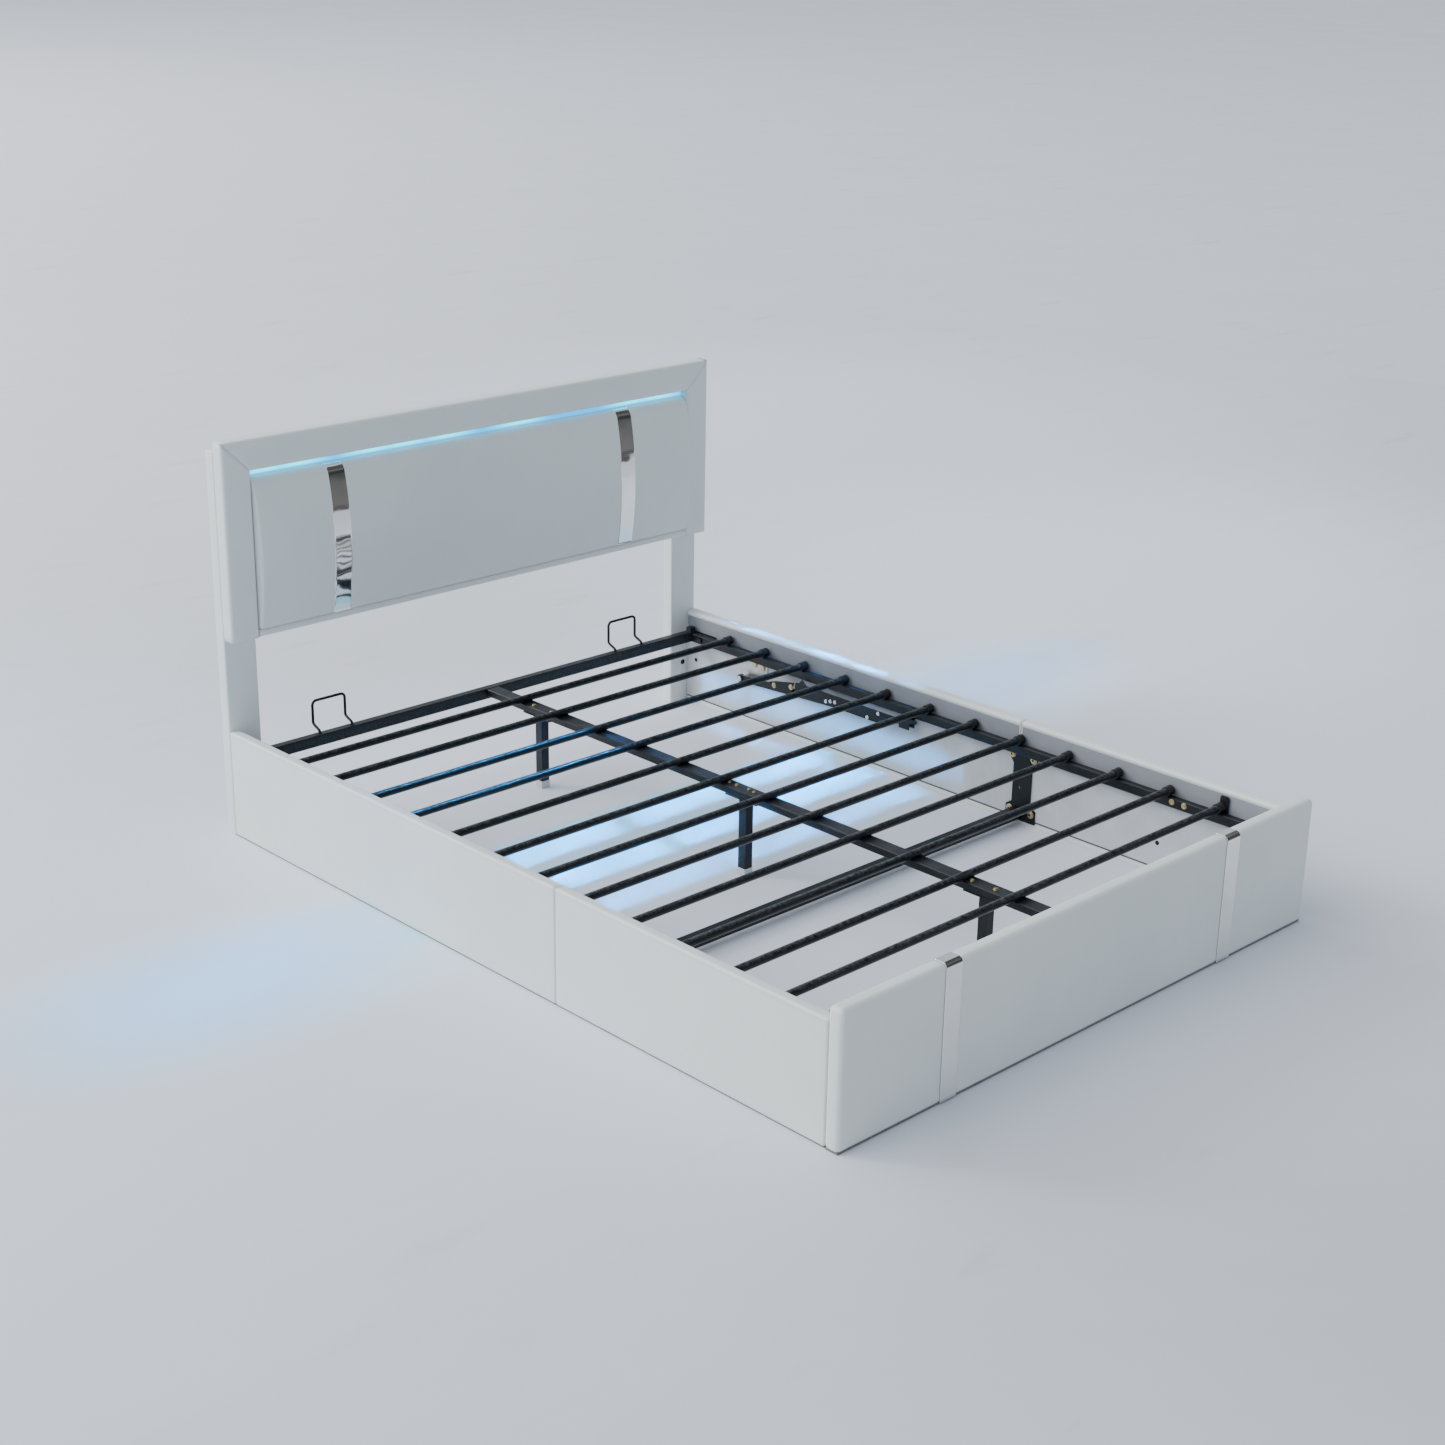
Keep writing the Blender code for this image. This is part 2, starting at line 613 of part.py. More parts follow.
def make_hinges(steel):
    """Hinge plates on the side rails, each with the pin that the platform turns on."""
    for label, side in SIDES:
        plate_x = RAIL_INNER_X - GAP
        inner_x = plate_x - HINGE_PLATE_THICK
        x0, x1 = spread(inner_x, plate_x, side)
        low = (x0, HINGE_Y - HINGE_PLATE_LENGTH / 2, HINGE_Z - HINGE_PLATE_DROP)
        high = (x1, HINGE_Y + HINGE_PLATE_LENGTH / 2, HINGE_Z + HINGE_PLATE_RISE)
        piece = place("hinge_plate_" + label, block_mesh(low, high, "hinge plate"), steel)
        seat = MEMBER_OUTER_X + GAP
        head = MEMBER_INNER_X - GAP
        profile = [(inner_x + HINGE_PLATE_THICK / 2, HINGE_BOSS_RADIUS), (seat, HINGE_BOSS_RADIUS),
                   (seat, HINGE_PIN_RADIUS), (head, HINGE_PIN_RADIUS), (head, HINGE_HEAD_RADIUS),
                   (head - HINGE_HEAD_HEIGHT, HINGE_HEAD_RADIUS)]
        profile = [(x * side, radius) for x, radius in profile]
        combine(piece, turned_x(profile, HINGE_Y, HINGE_Z, ROUND_SIDES, "hinge pin"), "UNION")


def make_strut_mounts(zinc):
    """Plates bolted to the side rails that carry the struts' lower pivots."""
    y, z = STRUT_LOW_Y, STRUT_LOW_Z
    pad, rise = MOUNT_PAD_WIDTH / 2, MOUNT_PAD_HEIGHT / 2
    outline = [(y - pad, z - rise), (y + pad, z - rise), (y + pad, z + rise),
               (y - MOUNT_EAR_NEAR, z + MOUNT_EAR_RISE), (y - MOUNT_EAR_REACH, z + MOUNT_EAR_RISE),
               (y - MOUNT_EAR_REACH, z + MOUNT_EAR_LOW)]
    for label, side in SIDES:
        plate_x = RAIL_INNER_X - GAP
        inner_x = plate_x - MOUNT_PLATE_THICK
        x0, x1 = spread(inner_x, plate_x, side)
        piece = place("strut_mount_" + label, slab_x(outline, x0, x1, "strut mount"), zinc)
        eye_x = STRUT_X + EYE_THICK / 2 + GAP
        head_x = STRUT_X - EYE_THICK / 2 - GAP
        profile = [(inner_x + MOUNT_PLATE_THICK / 2, STRUT_BOSS_RADIUS), (eye_x, STRUT_BOSS_RADIUS),
                   (eye_x, STRUT_PIN_RADIUS), (head_x, STRUT_PIN_RADIUS),
                   (head_x, STRUT_HEAD_RADIUS), (head_x - STRUT_HEAD_HEIGHT, STRUT_HEAD_RADIUS)]
        profile = [(x * side, radius) for x, radius in profile]
        combine(piece, turned_x(profile, y, z, ROUND_SIDES, "strut pin"), "UNION")
        spots = [(y - MOUNT_EAR_REACH * far, z + MOUNT_EAR_RISE * up) for far, up in MOUNT_BOLT_SHARES]
        heads = bolt_heads((inner_x - BOLT_HEIGHT) * side, (inner_x + MOUNT_PLATE_THICK / 2) * side,
                           spots, "plate bolts")
        combine(piece, heads, "UNION")


def make_platform(steel, frame):
    """Side members, end bars, spine, legs, slats, mattress loops and guides."""
    for label, side in SIDES:
        x0, x1 = spread(MEMBER_INNER_X, MEMBER_OUTER_X, side)
        low = (x0, PLATFORM_FRONT_Y, MEMBER_LOW)
        high = (x1, HEAD_BAR_FRONT_Y - GAP, PLATFORM_TOP)
        mesh = square_tube(low, high, 1, "side member")
        piece = place("platform_side_" + label, mesh, steel, frame)
        radius = HINGE_PIN_RADIUS + HINGE_PIN_CLEAR
        profile = [((MEMBER_INNER_X - OVERRUN) * side, radius),
                   ((MEMBER_OUTER_X + OVERRUN) * side, radius)]
        hole = turned_x(profile, HINGE_Y, HINGE_Z, ROUND_SIDES, "hinge hole")
        combine(piece, hole, "DIFFERENCE")

        y0 = FOOT_BACK_Y + SLAT_FIRST - GUIDE_SHIFT - GUIDE_WIDTH / 2
        y1 = y0 + GUIDE_WIDTH
        top = PLATFORM_TOP + GUIDE_RISE
        outline = [(y0, MEMBER_LOW), (y1, MEMBER_LOW), (y1, top - GUIDE_CORNER), (y1 - GUIDE_CORNER, top),
                   (y0 + GUIDE_CORNER, top), (y0, top - GUIDE_CORNER)]
        inner = MEMBER_OUTER_X + GAP
        x0, x1 = spread(inner, inner + GUIDE_THICK, side)
        place("mattress_guide_" + label, slab_x(outline, x0, x1, "guide"), steel, frame)

        make_loop("mattress_loop_" + label, (MEMBER_OUTER_X - LOOP_EDGE) * side, steel, frame)

    reach = MEMBER_INNER_X - GAP
    low = (-reach, PLATFORM_FRONT_Y, MEMBER_LOW)
    high = (reach, PLATFORM_FRONT_Y + MEMBER_WIDTH, PLATFORM_TOP)
    place("platform_foot_bar", square_tube(low, high, 0, "foot bar"), steel, frame)
    low = (-MEMBER_OUTER_X, HEAD_BAR_FRONT_Y, HEAD_BAR_TOP - HEAD_BAR_HEIGHT)
    high = (MEMBER_OUTER_X, HEAD_BAR_BACK_Y, HEAD_BAR_TOP)
    piece = place("platform_head_bar", square_tube(low, high, 0, "head bar"), steel, frame)
    middle = HEAD_BAR_FRONT_Y + HEAD_BAR_DEPTH / 2
    for side in (-1, 1):
        x0, x1 = spread(MEMBER_OUTER_X - HEAD_CAP_WIDTH - CAP_LIP, MEMBER_OUTER_X - CAP_LIP, side)
        low = (x0, middle - HEAD_CAP_DEPTH / 2, HEAD_BAR_TOP - TUBE_WALL / 2)
        high = (x1, middle + HEAD_CAP_DEPTH / 2, HEAD_BAR_TOP + HEAD_CAP_RISE)
        combine(piece, block_mesh(low, high, "end cap"), "UNION")
    low = (-SPINE_WIDTH / 2, PLATFORM_FRONT_Y + MEMBER_WIDTH + GAP, SPINE_LOW)
    high = (SPINE_WIDTH / 2, HEAD_BAR_FRONT_Y - GAP, SPINE_TOP)
    place("platform_spine", square_tube(low, high, 1, "spine"), steel, frame)

    for number, share in enumerate(LEG_SHARES):
        mesh = leg_mesh(FOOT_BACK_Y + LEG_FIRST + LEG_RUN * share)
        place("centre_leg_%d" % (number + 1), mesh, steel, frame)

    profile = [(-MEMBER_OUTER_X, CAP_RADIUS - CAP_LIP), (-MEMBER_OUTER_X + CAP_LIP, CAP_RADIUS),
               (-MEMBER_OUTER_X + CAP_LENGTH, CAP_RADIUS), (-MEMBER_OUTER_X + CAP_LENGTH, SLAT_RADIUS)]
    profile += [(-x, radius) for x, radius in reversed(profile)]
    bore = SLAT_RADIUS - TUBE_WALL
    profile += [(MEMBER_OUTER_X, bore), (-MEMBER_OUTER_X, bore)]
    mesh = ring_loft([ring_x(x, radius, 0, SLAT_Z, SLAT_SIDES) for x, radius in profile], "slat")
    mesh.materials.append(steel)
    y = FOOT_BACK_Y + SLAT_FIRST
    for number in range(SLAT_COUNT):
        slat = place("slat_%02d" % (number + 1), mesh, None, frame)
        slat.matrix_world = Matrix.Translation((0, y, 0))
        y += SLAT_END_STEP if number in (0, SLAT_COUNT - 2) else SLAT_PITCH
    mesh.shade_smooth()
    mesh.set_sharp_from_angle(angle=math.radians(35))


def leg_mesh(y):
    """A square tube leg, open at its foot, with the plate that bolts it to the spine."""
    top = SPINE_LOW - GAP
    half = LEG_WIDTH / 2
    plate = top - LEG_PLATE_THICK
    sizes = [(plate, half - TUBE_WALL, half - TUBE_WALL), (0, half - TUBE_WALL, half - TUBE_WALL),
             (0, half, half), (plate, half, half), (plate, SPINE_WIDTH / 2, LEG_PLATE_LENGTH / 2),
             (top, SPINE_WIDTH / 2, LEG_PLATE_LENGTH / 2)]
    rings = [[(-a, y - b, z), (a, y - b, z), (a, y + b, z), (-a, y + b, z)] for z, a, b in sizes]
    return loft(rings, "centre leg")


def make_loop(name, middle_x, look, frame):
    """A bent wire loop that stands in the head bar and leans back before it rises."""
    y0 = HEAD_BAR_BACK_Y - HEAD_BAR_DEPTH / 2
    z0 = HEAD_BAR_TOP + GAP
    half = LOOP_WIDTH / 2
    z1 = z0 + LOOP_STUB
    z2 = z1 + LOOP_LEAN_RISE
    z3 = z2 + LOOP_RISE
    y1 = y0 + LOOP_LEAN
    side = [Vector((half, y0, z0)), Vector((half, y0, z1)), Vector((half, y1, z2))]
    for i in range(LOOP_CORNER_STEPS + 1):
        angle = math.pi / 2 * i / LOOP_CORNER_STEPS
        side.append(Vector((half - LOOP_CORNER * (1 - math.cos(angle)), y1,
                            z3 - LOOP_CORNER * (1 - math.sin(angle)))))
    points = side + [Vector((-p.x, p.y, p.z)) for p in reversed(side)]
    curve = bpy.data.curves.new(name, "CURVE")
    curve.dimensions = "3D"
    curve.bevel_depth = LOOP_WIRE
    curve.bevel_resolution = 1
    curve.use_fill_caps = True
    line = curve.splines.new("POLY")
    line.points.add(len(points) - 1)
    for target, point in zip(line.points, points):
        target.co = (point.x + middle_x, point.y, point.z, 1)
    curve.materials.append(look)
    loop = bpy.data.objects.new(name, curve)
    bpy.context.scene.collection.objects.link(loop)
    loop.parent = frame
    loop.matrix_parent_inverse = frame.matrix_world.inverted()


def round_along(profile, sides):
    """Rings round the local X axis, from (place, radius) pairs."""
    return [ring_x(x, radius, 0, 0, sides) for x, radius in profile]


def eye_rings(centre, radius):
    """Two rings round the local Z axis, for an eye's disc or its hole."""
    turns = [2 * math.pi * i / ROUND_SIDES for i in range(ROUND_SIDES)]
    return lambda z: [(centre + radius * math.cos(t), radius * math.sin(t), z) for t in turns]


def link_mesh():
    """The flat link between the low pivot and the strut's rod, along local X."""
    half = LINK_HEIGHT / 2
    end = LINK_LENGTH - LINK_CORNER
    outline = [(0, -half), (end, -half), (LINK_LENGTH, LINK_CORNER - half),
               (LINK_LENGTH, half - LINK_CORNER), (end, half), (0, half)]
    return loft([[(x, y, z) for x, y in outline] for z in (-LINK_THICK / 2, LINK_THICK / 2)], "link")


def make_struts(black):
    """Gas struts: the rod turns on the low pivot and the cylinder slides along it."""
    run = Vector((0, STRUT_HIGH_Y - STRUT_LOW_Y, STRUT_HIGH_Z - STRUT_LOW_Z))
    length = run.length
    along = run.normalized()
    across = Vector((1, 0, 0))
    turn = Matrix((along, across.cross(along), across)).transposed().to_4x4()
    half = EYE_THICK / 2
    hole = STRUT_PIN_RADIUS + STRUT_PIN_CLEAR
    for label, side in SIDES:
        pivot = empty("strut_pivot_" + label, (STRUT_X * side, STRUT_LOW_Y, STRUT_LOW_Z))
        seat = Matrix.Translation(pivot.location) @ turn

        disc = eye_rings(0, EYE_RADIUS)
        rod = place("strut_rod_" + label, loft([disc(-half), disc(half)], "eye"), black, pivot)
        rod.matrix_world = seat
        combine(rod, link_mesh(), "UNION")
        inner = -side
        for share in LINK_RIVET_SHARES:
            head = eye_rings(LINK_LENGTH * share, STRUT_HEAD_RADIUS)
            rings = [head(0), head((LINK_THICK / 2 + BOLT_HEIGHT / 2) * inner)]
            combine(rod, loft(rings, "rivet"), "UNION")
        bar = loft(round_along([(ROD_START, ROD_RADIUS), (ROD_LENGTH, ROD_RADIUS)], ROUND_SIDES), "rod")
        combine(rod, bar, "UNION")
        bore = eye_rings(0, hole)
        combine(rod, loft([bore(-half - OVERRUN), bore(half + OVERRUN)], "eye hole"), "DIFFERENCE")

        profile = [(CYLINDER_END, CYLINDER_RADIUS - CYLINDER_SHOULDER),
                   (CYLINDER_END - CYLINDER_SHOULDER, CYLINDER_RADIUS),
                   (CYLINDER_START, CYLINDER_RADIUS), (CYLINDER_START, CYLINDER_BORE),
                   (CYLINDER_START + CYLINDER_BORE_LENGTH, CYLINDER_BORE)]
        tube = loft(round_along(profile, ROUND_SIDES), "cylinder")
        cylinder = place("strut_cylinder_" + label, tube, black, pivot)
        cylinder.matrix_world = seat
        neck = round_along([(CYLINDER_END - CYLINDER_SHOULDER, CYLINDER_NECK_RADIUS),
                            (length - EYE_RADIUS / 2, CYLINDER_NECK_RADIUS)], ROUND_SIDES)
        combine(cylinder, loft(neck, "neck"), "UNION")
        disc = eye_rings(length, EYE_RADIUS)
        combine(cylinder, loft([disc(-half), disc(half)], "eye"), "UNION")
        bore = eye_rings(length, hole)
        combine(cylinder, loft([bore(-half - OVERRUN), bore(half + OVERRUN)], "eye hole"), "DIFFERENCE")


def make_forks(steel, frame):
    """Forks under the side members, one cheek on each side of the strut's upper eye."""
    top = MEMBER_LOW - GAP
    inner = EYE_THICK / 2 + FORK_SIDE_CLEAR
    outer = inner + FORK_THICK
    outline = [(-outer, top - FORK_DROP), (-inner, top - FORK_DROP), (-inner, top - FORK_THICK),
               (inner, top - FORK_THICK), (inner, top - FORK_DROP), (outer, top - FORK_DROP),
               (outer, top), (-outer, top)]
    for label, side in SIDES:
        points = [(STRUT_X * side + x, z) for x, z in outline]
        mesh = slab_y(points, STRUT_HIGH_Y - FORK_LENGTH / 2, STRUT_HIGH_Y + FORK_LENGTH / 2, "fork")
        place("strut_fork_" + label, mesh, steel, frame)


def make_strut_bars(steel, frame):
    """Flat bars that hang from the side members, on the inner side of the struts."""
    start_y = STRUT_HIGH_Y - BAR_FOOT_REACH
    low_z = MEMBER_LOW - BAR_DROP
    outline = [(start_y + BAR_LENGTH * a, low_z + BAR_HEIGHT * b) for a, b in BAR_OUTLINE_SHARES]
    outer = STRUT_X - EYE_THICK / 2 - FORK_SIDE_CLEAR - FORK_THICK - GAP
    for label, side in SIDES:
        x0, x1 = spread(outer - BAR_THICK, outer, side)
        place("strut_bar_" + label, slab_x(outline, x0, x1, "strut bar"), steel, frame)


def main():
    for old in list(bpy.data.objects):
        bpy.data.objects.remove(old)
    leather = material("white leather", (0.80, 0.82, 0.83), 0.45)
    cloth = material("grey backing cloth", (0.30, 0.31, 0.33), 0.95)
    steel = material("black powder coat", (0.02, 0.024, 0.028), 0.45, 0.3)
    zinc = material("zinc plate", (0.62, 0.64, 0.66), 0.4, 1.0)
    chrome = material("chrome", (0.85, 0.86, 0.88), 0.08, 1.0)
    metal = material("aluminium", (0.75, 0.76, 0.78), 0.35, 1.0)
    light = material("ice blue light", (0.45, 0.85, 1.0), 0.4, 0.0, 4.0)
    make_headboard(leather, cloth, metal, chrome, light)
    make_bed_sides(leather, chrome)
    make_rail_ties(steel)
    make_corner_brackets(steel)
    make_hinges(steel)
    make_strut_mounts(zinc)
    frame = empty("platform_hinge", (0, HINGE_Y, HINGE_Z))
    make_platform(steel, frame)
    make_forks(steel, frame)
    make_strut_bars(steel, frame)
    make_struts(steel)


main()
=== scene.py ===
"""Looks of an upholstered bed: padded leather, lining, steel platform, chrome trim and the lit gap.

Metres, +Z up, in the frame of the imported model: the foot end faces -Y, the headboard stands at +Y
and the floor is at 0. Side +1 is the right side (+X), side -1 the left.
"""
import math

import bpy
import numpy as np
from mathutils import Matrix, Vector


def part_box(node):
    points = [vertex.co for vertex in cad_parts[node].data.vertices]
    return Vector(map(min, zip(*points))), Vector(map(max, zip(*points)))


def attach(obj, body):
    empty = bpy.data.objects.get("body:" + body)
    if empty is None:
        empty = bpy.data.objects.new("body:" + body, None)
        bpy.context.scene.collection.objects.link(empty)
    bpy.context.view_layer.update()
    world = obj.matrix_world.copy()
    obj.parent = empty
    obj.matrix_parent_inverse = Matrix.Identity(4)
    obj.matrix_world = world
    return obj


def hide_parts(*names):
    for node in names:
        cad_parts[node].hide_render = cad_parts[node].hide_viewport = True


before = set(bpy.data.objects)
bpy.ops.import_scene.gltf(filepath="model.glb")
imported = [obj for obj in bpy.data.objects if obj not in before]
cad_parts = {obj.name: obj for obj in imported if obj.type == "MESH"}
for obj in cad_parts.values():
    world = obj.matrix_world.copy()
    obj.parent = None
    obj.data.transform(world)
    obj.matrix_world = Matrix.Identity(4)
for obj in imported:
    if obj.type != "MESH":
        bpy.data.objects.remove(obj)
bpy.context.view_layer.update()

SIDES = (("right", 1), ("left", -1))
X_AXIS, Y_AXIS, Z_AXIS = Vector((1, 0, 0)), Vector((0, 1, 0)), Vector((0, 0, 1))

# Camera, found from the straight edges in the photograph
CAMERA_PLACE = (-3.6764, -3.7085, 2.3257)
CAMERA_YAW = -44.0707
CAMERA_PITCH = -20.2414
CAMERA_ROLL = 0.9543
FOCAL_PIXELS = 2306.75
IMAGE_PIXELS = 1445
SENSOR_WIDTH = 36.0

# Padding and leather
ROUND_STEPS = 4
PAD_STEP = 0.014
WAVE_COUNT = 7
WAVE_SLOPE = 0.0035
FOOT_ROUND = 0.012
FOOT_SEAT = 0.0008
FOOT_SWELL = 0.0022
FOOT_FIELD_ROUND = 0.016
FOOT_END_ROUND = 0.009
SKID_HEIGHT = 0.0024
SKID_TUCK = 0.005
SKID_ROUND = 0.0004
SKID_INSET = 0.003
RAIL_ROUND = 0.006
RAIL_SLOPE = 0.003
RAIL_END_ROUND = 0.004
RAIL_END_BACK = 0.0008
RAIL_SWELL = 0.0015
RAIL_HEM_DROP = 0.0125
HEM_STEP = 0.0006
LINING_THICK = 0.0012
FLAT_LEAST = 0.0105
BAND_LOW = 0.196
SOLE_LOW = 0.0003
SOLE_HIGH = 0.0112
# Dark strip low on each rail's inner face, a painted shade line of a gap along the floor
PAINTED_SHADE_LOW = 0.0140
PAINTED_SHADE_HIGH = 0.0185
BORDER_ROUND = 0.008
SEAM_ROUND = 0.0002
BORDER_SWELL = 0.001
POST_ROUND = 0.005

# Swelling panel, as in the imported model
PANEL_RADIUS = 0.880
PANEL_MIDDLE = 0.723
PANEL_CURL = 0.030
PANEL_SIDE_ROUND = 0.007
PANEL_PUFF = 0.0012

# Chrome strips
STRIP_PROUD = 0.0016
STRIP_SHEET = 0.0008
STRIP_EDGE = 0.0012
FOOT_STRIP_HEM = 0.0052
FOOT_STRIP_RETURN = 0.020

# Slats and their sleeves
SLAT_RADIUS = 0.0095
SLEEVE_RADIUS = 0.013
SLEEVE_LENGTH = 0.026
SLEEVE_LIP = 0.003
SLAT_SIDES = 40

# Mattress loops
LOOP_WIRE = 0.004
LOOP_HALF = 0.050
LOOP_STUB = 0.006
LOOP_LEAN = 0.030
LOOP_LEAN_RISE = 0.012
LOOP_RISE = 0.0612
LOOP_BEND = 0.012
LOOP_SMALL_BEND = 0.009

# Studio
FLOOR_RADIUS = 300.0
SKY_STRENGTH = 0.72
KEY_STRENGTH = 1.8
KEY_DIRECTION = (1.0, -0.5, -1.05)
# The flag is seen only in mirrors: its bands paint dark and paler reflections
FLAG_RADIUS = 7.0
FLAG_TURNS = (-78, 20)
FLAG_HEIGHTS = (0.0, 12.0)
FLAG_BANDS = ((0.02, 0.10), (0.10, 0.08), (0.16, 0.012), (0.28, 0.015), (0.40, 0.09), (0.55, 0.03),
              (0.95, 0.04))
POOL_POWER = 2.0
BLUE = (0.05, 0.46, 1.0)
DEEP_BLUE = (0.0, 0.37, 1.0)

# Bands of blue light inside the bed: place along Y, lean of the rays, width, and share of the power
POOL_BANDS = ((0.46, 0.03, 0.11, 1.25), (0.285, 0.146, 0.10, 1.15), (0.10, 0.33, 0.07, 0.42))

# Painted light and shade on the floor, blue pools of light among them: place, turn, half length and half
# width, how much it streaks, and tint
PAINTED_FLOOR_LIGHT = (((-2.4, 1.4), 0.0, (2.6, 3.4), 0.1, (0.80, 0.84, 0.93, 1)),
               ((0.2, -2.7), 0.74, (1.9, 1.0), 0.1, (0.60, 0.60, 0.635, 1)),
               ((1.9, -0.8), 0.0, (1.3, 1.6), 0.1, (0.81, 0.82, 0.86, 1)),
               ((3.6, 3.2), 0.0, (2.6, 2.6), 0.1, (0.77, 0.79, 0.855, 1)),
               ((2.7, 0.9), 0.0, (2.2, 1.8), 0.1, (0.865, 0.90, 0.97, 1)),
               ((0.1, 0.1), 0.0, (1.5, 1.8), 0.0, (0.84, 0.875, 0.96, 1)),
               ((0.15, 0.46), 0.0, (1.4, 0.105), 0.1, (0.44, 0.84, 1.0, 1)),
               ((0.15, 0.285), 0.0, (1.4, 0.10), 0.1, (0.44, 0.84, 1.0, 1)),
               ((0.15, 0.09), 0.0, (1.3, 0.085), 0.1, (0.70, 0.86, 1.0, 1)),
               ((-1.30, 0.34), 0.0, (0.65, 0.32), 0.2, (0.58, 0.76, 0.95, 1)),
               ((1.58, 0.57), 0.0, (0.70, 0.25), 0.2, (0.66, 0.76, 0.90, 1)))

# Light: places of its lamps along X, how far each one reaches, and the milky cover in front of it
LIGHT_LAMPS = (-0.67, -0.57, -0.35, -0.24, -0.11, 0.13, 0.53, 0.63)
LIGHT_REACH = 0.13
LIGHT_FADE = (0.9315, 0.9365)
COVER_THICK = 0.0008
COVER_GAP = 0.0002
COVER_SIDE = 0.7188

# Bolts on the spine over each leg, as X and Y, and the plastic cap on each leg's foot
LEG_BOLTS = (((-0.003, -0.7214), (-0.001, -0.7889)),
             ((0.002, 0.0624), (0.002, 0.0372), (0.004, -0.0035), (0.0, -0.0255)),
             ((-0.006, 0.8076), (-0.006, 0.735)))
LEG_CAP_HALF = 0.0138
LEG_CAP_HEIGHT = 0.021

# Bolts, each size as the head's radius and height, and the faces that they stand on, by their X
LARGE_BOLT = (0.0083, 0.0046)
MIDDLE_BOLT = (0.0062, 0.0036)
LUG_RIVET = (0.0062, 0.0032)
BAR_RIVET = (0.0042, 0.0026)
LEG_BOLT = (0.0055, 0.0040)
SMALL_LEG_BOLT = (0.0038, 0.0036)
RECESSED = 0.0009
TIE_THICK = 0.004
MOUNT_FACE = 0.7647
FOOT_BOLTS_OUT = 0.7427
MEMBER_FACE = 0.7419
RAIL_FACE = 0.7680
BOLT_SIDES = 24

# Staples of the back cloth
STAPLE_INSET = 0.010
STAPLE_PITCH = 0.060
STAPLE_LENGTH = 0.010
STAPLE_WIRE = 0.0007

# Gas struts
STRUT_LOW = (0.745, 0.7838, 0.140)
LUG_OUTLINE = ((0.6635, 0.1624), (0.6345, 0.1713), (0.5627, 0.1848), (0.5730, 0.1530), (0.6338, 0.1460))
LUG_FACES = (0.7355, 0.7385)
LUG_RIVETS = ((0.641, 0.157), (0.574, 0.169))
BAR_FACE = 0.7292
BAR_RIVETS = ((0.4315, 0.1664), (0.4142, 0.171), (0.3969, 0.173), (0.2745, 0.1625), (0.2352, 0.1839))


def add(tree, kind, inputs=None, **settings):
    """A shader node with its settings, and each input linked or set to a value."""
    node = tree.nodes.new("ShaderNode" + kind)
    for label, value in settings.items():
        setattr(node, label, value)
    for label, value in (inputs or {}).items():
        if isinstance(value, bpy.types.NodeSocket):
            tree.links.new(value, node.inputs[label])
        else:
            node.inputs[label].default_value = value
    return node


def new_group(name, inputs, outputs):
    """An empty shader node group with named inputs, each given a value, and named outputs."""
    tree = bpy.data.node_groups.new(name, "ShaderNodeTree")
    for label, value in inputs.items():
        kind = "NodeSocketColor" if isinstance(value, tuple) else "NodeSocketFloat"
        tree.interface.new_socket(label, in_out="INPUT", socket_type=kind).default_value = value
    for label, kind in outputs.items():
        tree.interface.new_socket(label, in_out="OUTPUT", socket_type="NodeSocket" + kind)
    return tree, tree.nodes.new("NodeGroupInput").outputs, tree.nodes.new("NodeGroupOutput").inputs


def use(tree, group, **inputs):
    """A group placed in a material; words of an input's name are joined by _ here."""
    node = tree.nodes.new("ShaderNodeGroup")
    node.node_tree = group
    for label, value in inputs.items():
        node.inputs[label.replace("_", " ")].default_value = value
    return node.outputs


def here(tree):
    """Place on the piece, in metres."""
    return add(tree, "TexCoord").outputs["Object"]


def math_node(tree, operation, first, second):
    return add(tree, "Math", {0: first, 1: second}, operation=operation).outputs[0]


def times(tree, first, second):
    return math_node(tree, "MULTIPLY", first, second)


def vector_node(tree, operation, first, second):
    return add(tree, "VectorMath", {0: first, 1: second}, operation=operation).outputs[0]


def noise(tree, place, scale, detail, roughness=0.5):
    inputs = {"Vector": place, "Scale": scale, "Detail": detail, "Roughness": roughness}
    return add(tree, "TexNoise", inputs).outputs["Fac"]


def ramp(tree, value, low=0.0, high=1.0, start=0.0, end=1.0, soft=False):
    """A value whose run from low to high becomes a run from start to end, straight or soft at its ends."""
    inputs = {"Value": value, "From Min": low, "From Max": high, "To Min": start, "To Max": end}
    kind = "SMOOTHSTEP" if soft else "LINEAR"
    return add(tree, "MapRange", inputs, interpolation_type=kind).outputs[0]


def blend(tree, share, first, second):
    """The first colour, or the second where the share is one."""
    return add(tree, "MixRGB", {"Fac": share, "Color1": first, "Color2": second}).outputs[0]


def grain_group():
    """Pebbled leather grain: cells with soft creases, and fine pores in them."""
    tree, given, made = new_group("leather grain", {"Scale": 600.0, "Pores": 0.25}, {"Height": "Float"})
    place = here(tree)
    bend = add(tree, "TexNoise", {"Vector": place, "Scale": 90.0, "Detail": 2.0}).outputs["Color"]
    shift = add(tree, "MixRGB", {"Fac": 0.004, "Color1": place, "Color2": bend}, blend_type="ADD").outputs[0]
    cells = add(tree, "TexVoronoi", {"Vector": shift, "Scale": given["Scale"]}, feature="DISTANCE_TO_EDGE")
    crease = ramp(tree, cells.outputs["Distance"], 0.0, 0.22, soft=True)
    pores = times(tree, noise(tree, place, 2600.0, 2.0), given["Pores"])
    tree.links.new(math_node(tree, "ADD", pores, crease), made["Height"])
    return tree


